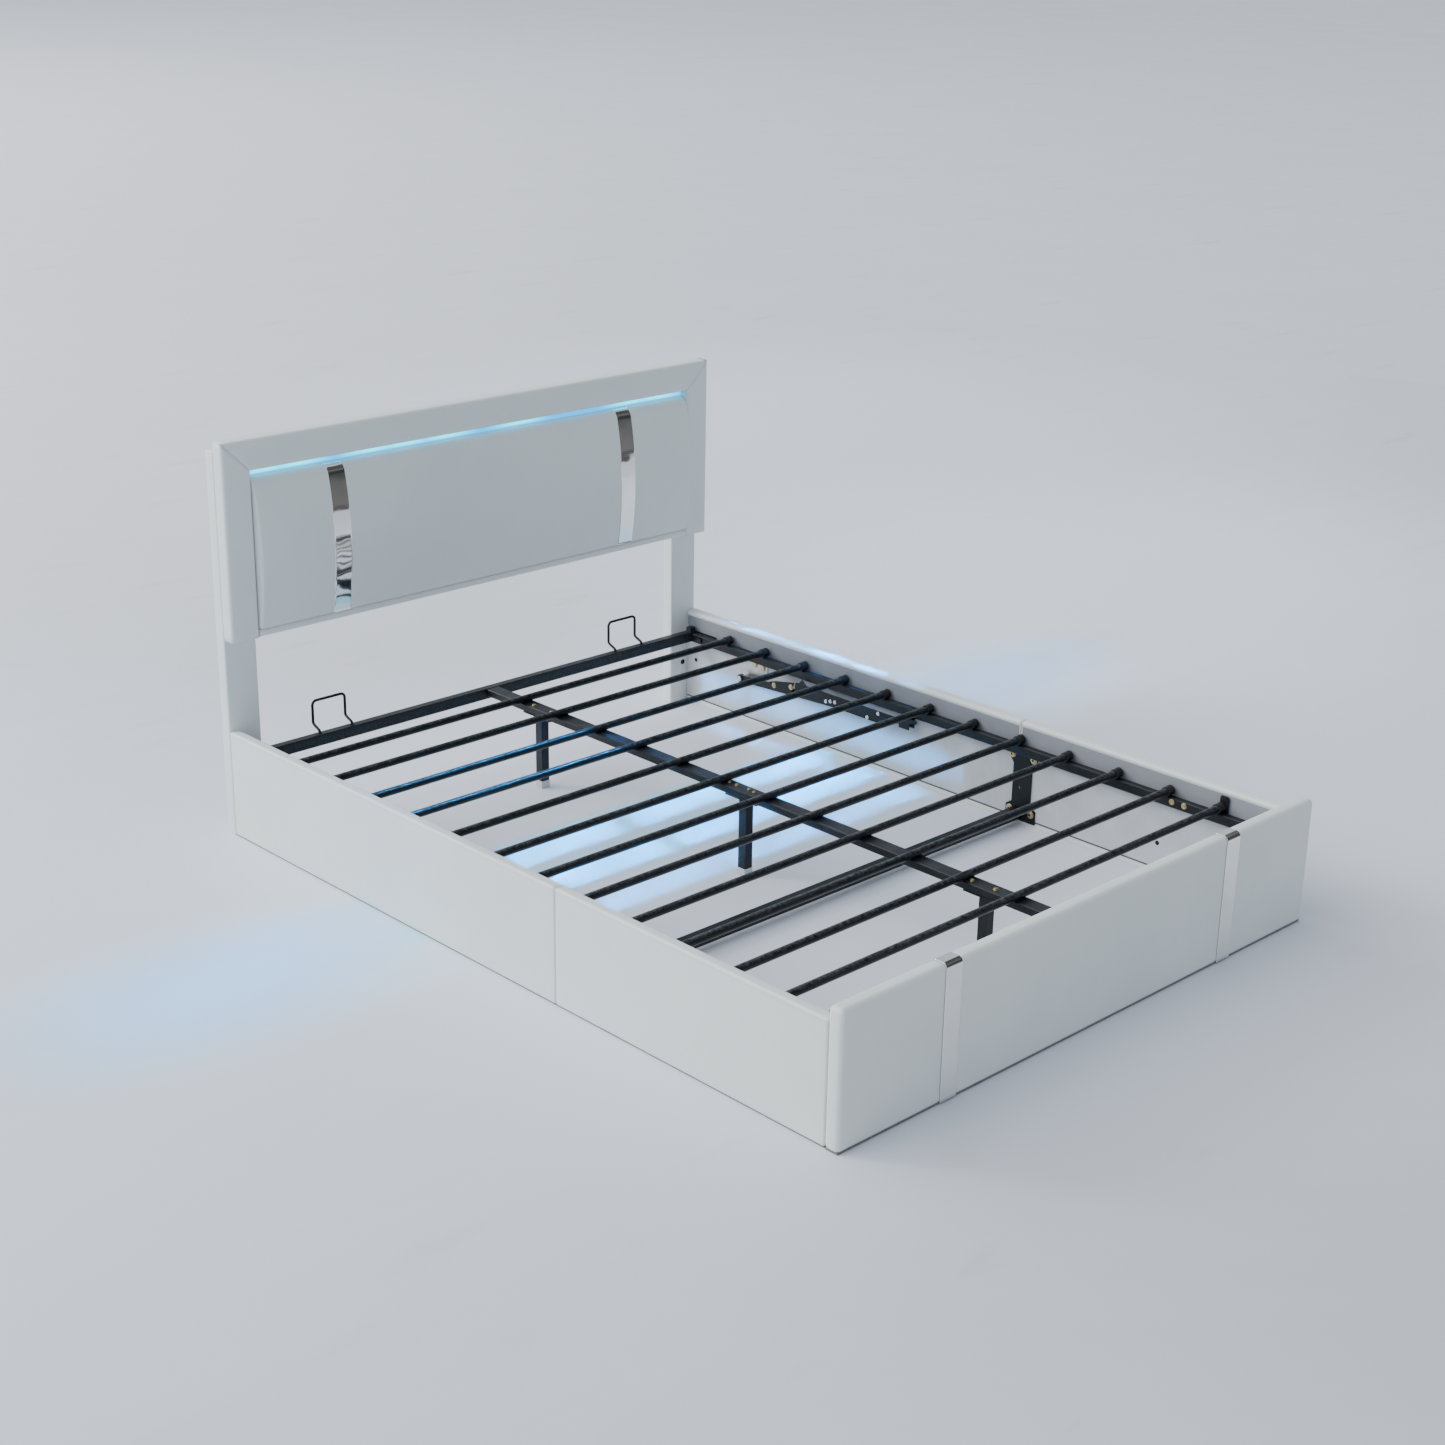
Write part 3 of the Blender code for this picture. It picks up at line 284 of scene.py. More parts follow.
def patches_group():
    """One colour that drifts towards another in soft patches of a given size."""
    white = (1.0, 1.0, 1.0, 1.0)
    inputs = {"Colour": white, "Shade": white, "Scale": 4.0, "Amount": 0.5}
    tree, given, made = new_group("soft patches", inputs, {"Colour": "Color", "Mask": "Float"})
    spread = ramp(tree, noise(tree, here(tree), given["Scale"], 4.0, 0.6), 0.35, 0.65, soft=True)
    mask = times(tree, spread, given["Amount"])
    tree.links.new(blend(tree, mask, given["Colour"], given["Shade"]), made["Colour"])
    tree.links.new(mask, made["Mask"])
    return tree


def wear_group():
    """Mask of edges rubbed to a lighter tone, broken up by noise."""
    tree, given, made = new_group("edge wear", {"Amount": 0.6, "Scale": 120.0}, {"Mask": "Float"})
    edge = ramp(tree, add(tree, "NewGeometry").outputs["Pointiness"], 0.52, 0.62)
    broken = ramp(tree, noise(tree, here(tree), given["Scale"], 5.0), 0.42, 0.62)
    tree.links.new(times(tree, times(tree, edge, broken), given["Amount"]), made["Mask"])
    return tree


def dust_and_lit_top_group():
    """Mask of faces that look up, broken into specks: thin settled dust, and where it is heavy, as on the
    slats, a painted lighter top as well.
    """
    tree, given, made = new_group("settled dust and lit top", {"Amount": 0.3, "Scale": 30.0}, {"Mask": "Float"})
    way = add(tree, "TexCoord").outputs["Normal"]
    up = ramp(tree, add(tree, "SeparateXYZ", {"Vector": way}).outputs["Z"], 0.3, 1.0)
    specks = ramp(tree, noise(tree, here(tree), given["Scale"], 6.0, 0.7), 0.4, 0.75)
    tree.links.new(times(tree, times(tree, up, specks), given["Amount"]), made["Mask"])
    return tree


def scratch_group():
    """Fine straight scratches along X, as a mask."""
    tree, given, made = new_group("fine scratches", {"Scale": 900.0, "Stretch": 0.02}, {"Mask": "Float"})
    size = add(tree, "CombineXYZ", {0: given["Stretch"], 1: 1.0, 2: 1.0}).outputs[0]
    drawn = vector_node(tree, "MULTIPLY", here(tree), size)
    tree.links.new(noise(tree, drawn, given["Scale"], 3.0), made["Mask"])
    return tree


def fibre_group():
    """Matted fibres of a non-woven cloth with its rows of pressed dots."""
    tree, given, made = new_group("matted fibres", {"Scale": 500.0, "Dots": 400.0}, {"Height": "Float"})
    place = here(tree)
    total = None
    for stretch in ((1.0, 0.15, 0.15), (0.15, 1.0, 0.15), (0.15, 0.15, 1.0)):
        fibres = noise(tree, vector_node(tree, "MULTIPLY", place, stretch), given["Scale"], 4.0)
        total = fibres if total is None else math_node(tree, "MAXIMUM", total, fibres)
    dots = add(tree, "TexVoronoi", {"Vector": place, "Scale": given["Dots"], "Randomness": 0.0})
    pressed = ramp(tree, dots.outputs["Distance"], 0.2, 0.4)
    tree.links.new(times(tree, total, pressed), made["Height"])
    return tree


def peel_group():
    """Orange peel of a baked coat or of moulded plastic."""
    tree, given, made = new_group("orange peel", {"Scale": 700.0}, {"Height": "Float"})
    tree.links.new(noise(tree, here(tree), given["Scale"], 2.0), made["Height"])
    return tree


def pool_group():
    """Mask of a pool painted on a floor, of light where its tint is paler and of shade where it is darker:
    soft towards its rim and drawn out into faint streaks.
    """
    inputs = {"Place X": 0.0, "Place Y": 0.0, "Turn": 0.0, "Reach X": 1.0, "Reach Y": 1.0, "Streaks": 0.5}
    tree, given, made = new_group("light pool", inputs, {"Mask": "Float"})
    middle = add(tree, "CombineXYZ", {0: given["Place X"], 1: given["Place Y"], 2: 0.0}).outputs[0]
    away = vector_node(tree, "SUBTRACT", here(tree), middle)
    turned_away = {"Vector": away, "Angle": given["Turn"]}
    away = add(tree, "VectorRotate", turned_away, rotation_type="Z_AXIS").outputs[0]
    reach = add(tree, "CombineXYZ", {0: given["Reach X"], 1: given["Reach Y"], 2: 1.0}).outputs[0]
    share = vector_node(tree, "DIVIDE", away, reach)
    length = add(tree, "VectorMath", {0: share}, operation="LENGTH").outputs["Value"]
    streaks = vector_node(tree, "MULTIPLY", away, (0.6, 7.0, 1.0))
    sway = ramp(tree, noise(tree, streaks, 1.6, 3.0), start=-1.0)
    length = math_node(tree, "ADD", length, times(tree, sway, given["Streaks"]))
    tree.links.new(ramp(tree, length, 1.15, 0.25, soft=True), made["Mask"])
    return tree


GRAIN, PATCHES, WEAR, DUST_AND_LIT_TOP = grain_group(), patches_group(), wear_group(), dust_and_lit_top_group()
SCRATCHES, FIBRES, PEEL, POOL = scratch_group(), fibre_group(), peel_group(), pool_group()


def new_material(name, **values):
    """A material with its tree and its Principled shader, given plain values."""
    made = bpy.data.materials.new(name)
    made.use_nodes = True
    shader = made.node_tree.nodes["Principled BSDF"]
    for label, value in values.items():
        shader.inputs[label.replace("_", " ")].default_value = value
    return made, made.node_tree, shader.inputs


def finished(made, colour, roughness, height, distance, strength):
    """The material with its colour, roughness and bump linked."""
    tree = made.node_tree
    shader = tree.nodes["Principled BSDF"].inputs
    bump = add(tree, "Bump", {"Height": height, "Distance": distance, "Strength": strength})
    for socket, label in ((colour, "Base Color"), (roughness, "Roughness"), (bump.outputs[0], "Normal")):
        tree.links.new(socket, shader[label])
    return made


def toned(tree, mask, low, high):
    """A value that runs from low to high with a mask."""
    return ramp(tree, mask, start=low, end=high)


def leather(name, colour, shade):
    """Smooth leather with a fine pebble, a little uneven in tone."""
    made, tree, _ = new_material(name, IOR=1.48)
    tone = use(tree, PATCHES, Colour=colour, Shade=shade, Scale=3.5, Amount=0.8)
    grain = use(tree, GRAIN, Scale=620.0, Pores=0.3)["Height"]
    return finished(made, tone["Colour"], toned(tree, grain, 0.54, 0.44), grain, 0.00012, 0.6)


def cloth(name, colour, shade, fibre_scale=500.0):
    """Non-woven cloth, matt, with its fibres and pressed dots, and painted shade in the hollows between
    them.
    """
    made, tree, _ = new_material(name, Sheen_Weight=0.15, Sheen_Roughness=0.6)
    tone = use(tree, PATCHES, Colour=colour, Shade=shade, Scale=6.0, Amount=0.9)
    height = use(tree, FIBRES, Scale=fibre_scale)["Height"]
    # Painted shade: the low parts of the fibres and the pressed dots are blended towards near black
    lit = blend(tree, toned(tree, height, 0.22, 0.0), tone["Colour"], (0.02, 0.02, 0.022, 1))
    return finished(made, lit, toned(tree, height, 0.95, 0.85), height, 0.0003, 0.7)


def coated_steel(name="black coated steel", dust_and_lit_top_amount=0.06, dust_and_lit_top_scale=26.0):
    """Black baked coat on steel: satin, with orange peel, rubbed edges and dust on faces that look up; on
    the slats the heavy amount also paints their tops lighter where light falls.
    """
    made, tree, _ = new_material(name, IOR=1.34)
    colour, shade = (0.0045, 0.0062, 0.0080, 1), (0.0075, 0.0098, 0.0120, 1)
    tone = use(tree, PATCHES, Colour=colour, Shade=shade, Scale=14.0, Amount=1.0)
    wear = use(tree, WEAR, Amount=0.10, Scale=160.0)["Mask"]
    # Dust on faces that look up, and on the slats a painted lighter top as well
    dust = use(tree, DUST_AND_LIT_TOP, Amount=dust_and_lit_top_amount, Scale=dust_and_lit_top_scale)["Mask"]
    rubbed = blend(tree, wear, tone["Colour"], (0.16, 0.165, 0.17, 1))
    lightened_on_top = blend(tree, dust, rubbed, (0.22, 0.23, 0.24, 1))
    dulled = toned(tree, math_node(tree, "ADD", dust, tone["Mask"]), 0.30, 0.42)
    return finished(made, lightened_on_top, dulled, use(tree, PEEL, Scale=900.0)["Height"], 0.00003, 0.5)


def moulded_plastic(name, colour, shade):
    """Moulded plastic of the sleeves, the grommets, the leg caps and the skid strips."""
    made, tree, _ = new_material(name, IOR=1.42)
    tone = use(tree, PATCHES, Colour=colour, Shade=shade, Scale=40.0, Amount=1.0)
    dust = use(tree, DUST_AND_LIT_TOP, Amount=0.06, Scale=60.0)["Mask"]
    lightened_on_top = blend(tree, dust, tone["Colour"], (0.2, 0.2, 0.21, 1))
    peel = use(tree, PEEL, Scale=1500.0)["Height"]
    return finished(made, lightened_on_top, toned(tree, tone["Mask"], 0.26, 0.38), peel, 0.00004, 0.6)


def metal(name, colour, shade, low, high):
    """Bare or plated metal with fine scratches and an uneven polish, between two values of roughness."""
    made, tree, _ = new_material(name, Metallic=1.0)
    tone = use(tree, PATCHES, Colour=colour, Shade=shade, Scale=40.0, Amount=1.0)
    scratches = use(tree, SCRATCHES)["Mask"]
    return finished(made, tone["Colour"], toned(tree, scratches, low, high), scratches, 0.00003, 0.5)


def chrome():
    """Polished chrome sheet, not quite flat, with hairline scratches."""
    made, tree, _ = new_material("polished chrome", Metallic=1.0)
    colour, shade = (0.98, 0.97, 0.935, 1), (0.92, 0.91, 0.885, 1)
    tone = use(tree, PATCHES, Colour=colour, Shade=shade, Scale=9.0, Amount=1.0)
    scratches = use(tree, SCRATCHES, Scale=1400.0, Stretch=0.03)["Mask"]
    dents = noise(tree, here(tree), 16.0, 1.0)
    return finished(made, tone["Colour"], toned(tree, scratches, 0.02, 0.09), dents, 0.0010, 1.0)


def lit_diffuser():
    """Milky light strip, brighter over each lamp and fading between them."""
    made, tree, shader = new_material("lit ice blue diffuser", Roughness=0.4, Emission_Strength=3.2)
    place = add(tree, "SeparateXYZ", {"Vector": here(tree)}).outputs
    swell = None
    for lamp in LIGHT_LAMPS:
        away = math_node(tree, "ABSOLUTE", math_node(tree, "SUBTRACT", place["X"], lamp), 0.0)
        near = ramp(tree, away, LIGHT_REACH, 0.0, soft=True)
        swell = near if swell is None else math_node(tree, "MAXIMUM", swell, near)
    swell = times(tree, swell, ramp(tree, place["Z"], *LIGHT_FADE, 0.1, soft=True))
    tree.links.new(blend(tree, swell, (0.0, 0.27, 0.60, 1), (0.03, 0.78, 1.0, 1)), shader["Emission Color"])
    shader["Base Color"].default_value = (0.02, 0.12, 0.20, 1)
    return made


def studio_floor():
    """Pale seamless floor with faint scuffs, its uneven tone, and painted pools of light and shade."""
    made, tree, shader = new_material("pale studio floor")
    colour, shade = (0.70, 0.715, 0.76, 1), (0.66, 0.675, 0.715, 1)
    tone = use(tree, PATCHES, Colour=colour, Shade=shade, Scale=0.8, Amount=0.7)
    scuffs = ramp(tree, use(tree, SCRATCHES, Scale=7.0, Stretch=0.3)["Mask"], 0.62, 0.8)
    colour = blend(tree, scuffs, tone["Colour"], (0.6, 0.6, 0.62, 1))
    # Pools of light and shade painted into the floor's colour
    for (x, y), turn, (wide, deep), streaks, tint in PAINTED_FLOOR_LIGHT:
        pool = use(tree, POOL, Place_X=x, Place_Y=y, Turn=turn, Reach_X=wide, Reach_Y=deep, Streaks=streaks)
        colour = blend(tree, pool["Mask"], colour, tint)
    tree.links.new(colour, shader["Base Color"])
    tree.links.new(toned(tree, tone["Mask"], 0.55, 0.7), shader["Roughness"])
    return made


LEATHER = leather("white leather", (0.79, 0.818, 0.795, 1), (0.75, 0.780, 0.757, 1))
BAND_CLOTH = cloth("grey band cloth", (0.30, 0.31, 0.35, 1), (0.26, 0.27, 0.30, 1))
LINING = cloth("pale lining", (0.66, 0.68, 0.70, 1), (0.60, 0.62, 0.64, 1), 300.0)
BACKING = cloth("dark backing cloth", (0.09, 0.095, 0.105, 1), (0.07, 0.073, 0.08, 1))
STEEL = coated_steel()
# The slats' heavy dust is partly dust and partly a painted lighter top where the sky lights them
SLAT_STEEL = coated_steel("black coated slat steel", 0.55, 90.0)
PLASTIC = moulded_plastic("black moulded plastic", (0.005, 0.006, 0.007, 1), (0.009, 0.010, 0.012, 1))
# The skid strips' dark grey is partly their own colour and partly painted shade of the line along the floor
SKID = moulded_plastic("grey moulded plastic", (0.20, 0.19, 0.185, 1), (0.15, 0.145, 0.14, 1))
CAP = moulded_plastic("pale moulded plastic", (0.62, 0.64, 0.68, 1), (0.56, 0.58, 0.62, 1))
BRASS = metal("yellow zinc", (0.72, 0.58, 0.28, 1), (0.52, 0.44, 0.26, 1), 0.25, 0.45)
ZINC = metal("dull zinc", (0.60, 0.61, 0.63, 1), (0.46, 0.47, 0.49, 1), 0.32, 0.5)
ALUMINIUM = metal("satin aluminium", (0.72, 0.73, 0.75, 1), (0.66, 0.67, 0.69, 1), 0.3, 0.42)
BRIGHT = metal("bright zinc", (0.90, 0.91, 0.93, 1), (0.80, 0.81, 0.84, 1), 0.12, 0.25)
# Dark discs that paint the shade inside holes
HOLE_SHADE = metal("painted hole shade", (0.03, 0.028, 0.026, 1), (0.05, 0.042, 0.034, 1), 0.5, 0.7)
CHROME = chrome()
DIFFUSER = lit_diffuser()


def placed(name, data):
    """A mesh, curve, camera or light put in the scene."""
    thing = bpy.data.objects.new(name, data)
    bpy.context.scene.collection.objects.link(thing)
    return thing


def new_mesh(name, points, faces, look):
    mesh = bpy.data.meshes.new(name)
    mesh.from_pydata([tuple(point) for point in points], [], faces)
    mesh.materials.append(look)
    return mesh


def new_piece(name, points, faces, look, body="platform", slot="black_steel", smooth=35):
    """A mesh piece that rides on a body, shaded smooth but for edges sharper than an angle."""
    mesh = new_mesh(name, points, faces, look)
    mesh.shade_smooth()
    mesh.set_sharp_from_angle(angle=math.radians(smooth))
    piece = placed(name, mesh)
    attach(piece, body)
    return piece


def stops(low, high, rounding, step, marks=()):
    """Places of the grid lines along one edge, close together over its rounded ends."""
    turns = [rounding * (1 - math.tan(math.pi / 4 * k / ROUND_STEPS)) for k in range(ROUND_STEPS, 0, -1)]
    count = max(2, round((high - low - 2 * rounding) / step) + 1)
    middle = list(np.linspace(low + rounding, high - rounding, count))
    turned_in = [low + turn for turn in turns] + [high - turn for turn in turns]
    return sorted(turned_in + middle + list(marks))


def block_grid(low, high, rounding, step, marks=((), (), ())):
    """Skin of a rounded block as a grid: points, outward directions and faces."""
    lines = [stops(*values) for values in zip(low, high, rounding, step, marks)]
    counts = [len(line) for line in lines]
    index, corners, faces = {}, [], []
    for axis in range(3):
        across, up = (axis + 1) % 3, (axis + 2) % 3
        for end in (0, counts[axis] - 1):
            for i in range(counts[across] - 1):
                for j in range(counts[up] - 1):
                    face = []
                    for di, dj in ((0, 0), (1, 0), (1, 1), (0, 1)):
                        cell = [end] * 3
                        cell[across], cell[up] = i + di, j + dj
                        key = tuple(cell)
                        if key not in index:
                            index[key] = len(corners)
                            corners.append([lines[k][cell[k]] for k in range(3)])
                        face.append(index[key])
                    faces.append(face if end else face[::-1])
    points, radii = np.array(corners), np.array(rounding)
    core = np.clip(points, np.array(low) + radii, np.array(high) - radii)
    out = (points - core) / radii
    out /= np.linalg.norm(out, axis=1)[:, None]
    return core + out * radii, out, faces


def unevenness(points, seed):
    """Gentle hollows and swells of padding under leather, in metres, as a few crossing waves."""
    draw = np.random.default_rng(seed)
    total = np.zeros(len(points))
    for _ in range(WAVE_COUNT):
        length = draw.uniform(0.06, 0.34)
        way = draw.normal(size=3)
        way *= 2 * math.pi / length / np.linalg.norm(way)
        total += np.sin(points @ way + draw.uniform(0, 2 * math.pi)) * length
    return total * WAVE_SLOPE / (2 * math.pi * math.sqrt(WAVE_COUNT))


def bulge(values, low, high):
    """One in the middle of a run and zero at its ends, as a shallow arch."""
    share = (values - (low + high) / 2) / ((high - low) / 2)
    return np.clip(1 - share ** 2, 0, 1)


def quarter_round(distance, radius):
    """Rise of a rounded edge at a distance from it, as a share of its radius."""
    share = np.clip(distance / radius, 0, 1)
    return np.sqrt(1 - (1 - share) ** 2)


def padded_piece(name, node, points, faces):
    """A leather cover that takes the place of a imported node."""
    piece = new_piece(name, points, faces, LEATHER, "base", "white_leather", 180)
    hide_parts(node)
    return piece


def make_skid(name, low, high):
    """Grey skid strip that a rail or the footboard stands on, set in under its padding; its dark grey also
    paints the thin shade line along the floor.
    """
    inset = Vector((SKID_INSET, SKID_INSET, 0))
    far = Vector((high.x, high.y, low.z + SKID_HEIGHT + SKID_TUCK)) - inset
    points, _, faces = block_grid(low + inset, far, [SKID_ROUND] * 3, [0.05, 0.05, 0.01])
    new_piece(name, points, faces, SKID, "base", "white_leather")


def make_light_cover():
    """Milky cover that snaps over the light's channel and closes its front."""
    low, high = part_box("light_channel")
    corner = (-COVER_SIDE, low.y - COVER_THICK - COVER_GAP, low.z + COVER_GAP / 2)
    far = (COVER_SIDE, low.y - COVER_GAP, high.z)
    points, _, faces = block_grid(corner, far, [0.0003] * 3, [0.02, 0.02, 0.004])
    new_piece("light_cover", points, faces, DIFFUSER, "base", "light_diffuser")


def make_footboard():
    """Footboard with three padded fields that dip to the chrome strips between them."""
    low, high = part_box("footboard")
    make_skid("footboard_skid", low, high)
    low.z += SKID_HEIGHT
    spans = sorted([point.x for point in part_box("footboard_strip_" + label)] for label, _ in SIDES)
    edges = [x for span in spans for x in span]
    marks = [x + way * FOOT_FIELD_ROUND * share for x in edges for share in (0, 0.06, 0.2, 0.45, 0.8)
             for way in (-1, 1)]
    points, out, faces = block_grid(low, high, (FOOT_END_ROUND, FOOT_ROUND, FOOT_ROUND), [PAD_STEP] * 3,
                                    (marks, (), ()))
    x = points[:, 0]
    away = np.full(len(x), 1.0)
    for x0, x1 in spans:
        away = np.minimum(away, np.where((x > x0) & (x < x1), 0, np.minimum(abs(x - x0), abs(x - x1))))
    rise = quarter_round(away, FOOT_FIELD_ROUND)
    fields = [low.x] + edges + [high.x]
    fields = zip(fields[::2], fields[1::2])
    crown = sum(bulge(x, start, end) * ((x > start) & (x < end)) for start, end in fields)
    crown = crown * bulge(points[:, 2], low.z, high.z) * np.clip(-out[:, 1], 0, 1)
    lift = rise * (FOOT_SEAT + FOOT_SWELL * 0.4) - FOOT_SEAT + crown * FOOT_SWELL
    lift += unevenness(points, 3) * rise
    lift *= np.clip((points[:, 2] - low.z) / FOOT_ROUND, 0, 1) * np.clip(1 - out[:, 1], 0, 1)
    padded_piece("footboard_cover", "footboard", points + out * lift[:, None], faces)


def make_rails():
    """Rail covers, each with its hem inside, and the band and lining below the hem, over a dark strip that
    paints the shade line of a gap along the floor.
    """
    for label, side in SIDES:
        for number, end in enumerate(("foot", "head")):
            node = "side_rail_%s_%s" % (label, end)
            low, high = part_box(node)
            make_skid("rail_skid_%s_%s" % (label, end), low, high)
            low.z += SKID_HEIGHT
            hem = high.z - RAIL_HEM_DROP
            back = Vector((0, RAIL_END_BACK, 0))
            rounding = (RAIL_ROUND, RAIL_END_ROUND, RAIL_ROUND)
            points, out, faces = block_grid(low + back, high - back, rounding, [PAD_STEP] * 3,
                                            ((), (), (hem - HEM_STEP, hem)))
            crown = bulge(points[:, 1], low.y, high.y) ** 0.5 * bulge(points[:, 2], low.z, high.z)
            seed = number + 2 * side
            lift = np.clip(out[:, 0] * side, 0, 1) * (crown * RAIL_SWELL + unevenness(points, 11 + seed))
            inner_edge = min(abs(low.x), abs(high.x))
            slope = np.clip((abs(points[:, 0]) - inner_edge) / (high.x - low.x), 0, 1) * RAIL_SLOPE
            lift += np.clip(out[:, 2], 0, 1) * (unevenness(points, 21 + seed) * 0.7 + slope)
            inner = (out[:, 0] * side < -0.99) & (points[:, 2] < hem - HEM_STEP / 2)
            lift = np.where(inner, -LINING_THICK, lift)
            padded_piece("rail_cover_%s_%s" % (label, end), node, points + out * lift[:, None], faces)
            # The dark cloth strip above the sole paints the shade line of a gap along the floor
            strips = (("sole", LEATHER, SOLE_LOW, SOLE_HIGH), ("tape", BACKING, PAINTED_SHADE_LOW, PAINTED_SHADE_HIGH),
                      ("lining", LINING, PAINTED_SHADE_HIGH, BAND_LOW), ("band", BAND_CLOTH, BAND_LOW, hem))
            for word, look, z0, z1 in strips:
                make_lining("rail_%s_%s_%s" % (word, label, end), low, high, z0, z1, side, look)


def make_lining(name, low, high, z0, z1, side, look):
    """A strip of cloth glued to the inner face of a rail, flush with it."""
    inner = low.x if side > 0 else high.x
    x0, x1 = sorted((inner, inner + LINING_THICK * side))
    corner = (x0, low.y + RAIL_ROUND, z0 + HEM_STEP / 2)
    far = (x1, high.y - RAIL_ROUND, z1 - HEM_STEP / 2)
    fine = LINING_THICK / 3
    points, _, faces = block_grid(corner, far, [fine] * 3, [PAD_STEP] * 3)
    piece = new_piece(name, points, faces, look, "base", "backing_cloth")
    if z1 - z0 < FLAT_LEAST:
        return


def make_border():
    """Four padded members round the panel, mitred at the top corners."""
    top_low, top_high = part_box("headboard_border_top")
    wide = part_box("headboard_border_right")[1].x
    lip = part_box("headboard_border_right")[0].x
    slope = (wide - lip) / (top_high.z - top_low.z)
    seam = SEAM_ROUND / 3
    step = [PAD_STEP] * 3
    for number, label in enumerate(("left", "right", "top", "bottom")):
        node = "headboard_border_" + label
        low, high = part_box(node)
        if label == "top":
            low.x, high.x = -wide, wide
            rounding = (SEAM_ROUND, BORDER_ROUND, BORDER_ROUND)
        elif label == "bottom":
            rounding = (SEAM_ROUND, BORDER_ROUND, BORDER_ROUND)
        else:
            high.z = top_high.z
            rounding = (BORDER_ROUND, BORDER_ROUND, SEAM_ROUND)
        points, out, faces = block_grid(low, high, rounding, step)
        crown = bulge(points[:, 0], low.x, high.x) ** 0.5 * bulge(points[:, 2], low.z, high.z) ** 0.5
        lift = np.clip(-out[:, 1], 0, 1) * crown * BORDER_SWELL + unevenness(points, 31 + number) * 0.5
        lift *= out[:, 1] < 0.5
        points = points + out * lift[:, None]
        if label == "top":
            half = lip + (points[:, 2] - top_low.z) * slope - seam
            points[:, 0] *= half / wide
        elif label != "bottom":
            reach = top_low.z + (abs(points[:, 0]) - lip) / slope - seam
            points[:, 2] = low.z + (points[:, 2] - low.z) * (reach - low.z) / (high.z - low.z)
        padded_piece("border_cover_" + label, node, points, faces)


def make_posts():
    """Posts wrapped in leather, with a seam down the middle of the back."""
    for label, side in SIDES:
        node = "headboard_post_" + label
        low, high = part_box(node)
        middle = (low.x + high.x) / 2
        marks = [middle + HEM_STEP * k for k in (-2, -1, 0, 1, 2)]
        points, out, faces = block_grid(low, high, [POST_ROUND] * 3, [PAD_STEP] * 3, (marks, (), ()))
        seam = np.clip(1 - abs(points[:, 0] - middle) / (2 * HEM_STEP), 0, 1) * np.clip(out[:, 1], 0, 1)
        lift = unevenness(points, 41 + side) * 0.4 - seam * HEM_STEP
        padded_piece("post_cover_" + label, node, points + out * lift[:, None], faces)


def panel_turns():
    """Angles of the panel's swell at its lower edge and where it starts to curl."""
    low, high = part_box("headboard_panel")
    start = math.asin((low.z - PANEL_MIDDLE) / PANEL_RADIUS)
    return start, math.asin((high.z - PANEL_CURL - PANEL_MIDDLE) / (PANEL_RADIUS - PANEL_CURL))


def panel_front(run, offset):
    """Y and Z of the panel's front at a run from its lower edge, moved out by an offset."""
    start, turn = panel_turns()
    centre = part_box("headboard_panel")[0].y + PANEL_RADIUS
    inner = PANEL_RADIUS - PANEL_CURL
    straight = PANEL_RADIUS * (turn - start)
    run = np.asarray(run, float)
    angle = start + np.minimum(run, straight) / PANEL_RADIUS + np.maximum(run - straight, 0) / PANEL_CURL
    reach = np.where(run > straight, PANEL_CURL, PANEL_RADIUS) + offset
    centre_y = np.where(run > straight, centre - inner * math.cos(turn), centre)
    centre_z = np.where(run > straight, PANEL_MIDDLE + inner * math.sin(turn), PANEL_MIDDLE)
    return centre_y - reach * np.cos(angle), centre_z + reach * np.sin(angle)


def panel_run():
    """Length of the panel's front from its lower edge to the end of the curl."""
    start, turn = panel_turns()
    return PANEL_RADIUS * (turn - start) + PANEL_CURL * (math.pi / 2 - turn)


def make_panel():
    """The swelling panel, curled back at its top into the lit gap."""
    low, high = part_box("headboard_panel")
    depth, run = high.y - low.y, panel_run()
    rounding = (PANEL_SIDE_ROUND, PANEL_SIDE_ROUND, POST_ROUND)
    step = (PAD_STEP, PAD_STEP, 0.009)
    points, out, faces = block_grid((low.x, 0, 0), (high.x, depth, run), rounding, step)
    front_y, front_z = panel_front(points[:, 2], 0)
    puff = bulge(points[:, 0], low.x, high.x) ** 0.4 * PANEL_PUFF + unevenness(points, 51)
    puff *= np.clip(-out[:, 1], 0, 1)
    y = front_y - puff + np.clip(points[:, 1], 0, None) * (high.y - front_y) / depth
    points = np.stack([points[:, 0], y, front_z], axis=1)
    padded_piece("panel_cover", "headboard_panel", points, faces)


def ribbon(name, node, path):
    """A thin chrome sheet that follows a path of Y and Z, with its long edges turned in."""
    x0, x1 = (point.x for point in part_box(node))
    edge = [(0, 1), (STRIP_EDGE * 0.3, 0.3), (STRIP_EDGE, 0)]
    lines = [(x0 + away, drop) for away, drop in edge]
    lines += [(x, 0) for x in np.linspace(x0 + 0.004, x1 - 0.004, 9)]
    lines += [(x1 - away, drop) for away, drop in reversed(edge)]
    points, faces = [], []
    for x, drop in lines:
        y, z = path(STRIP_PROUD - drop * STRIP_EDGE)
        points += [(x, a, b) for a, b in zip(y, z)]
    count = len(y)
    for i in range(len(lines) - 1):
        for j in range(count - 1):
            a, b = i * count + j, (i + 1) * count + j
            faces.append((a, b, b + 1, a + 1))
    piece = new_piece(name, points, faces, CHROME, "base", "chrome_trim", 180)
    sheet = piece.modifiers.new("Sheet", "SOLIDIFY")
    sheet.thickness = STRIP_SHEET
    sheet.offset = -1
    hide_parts(node)


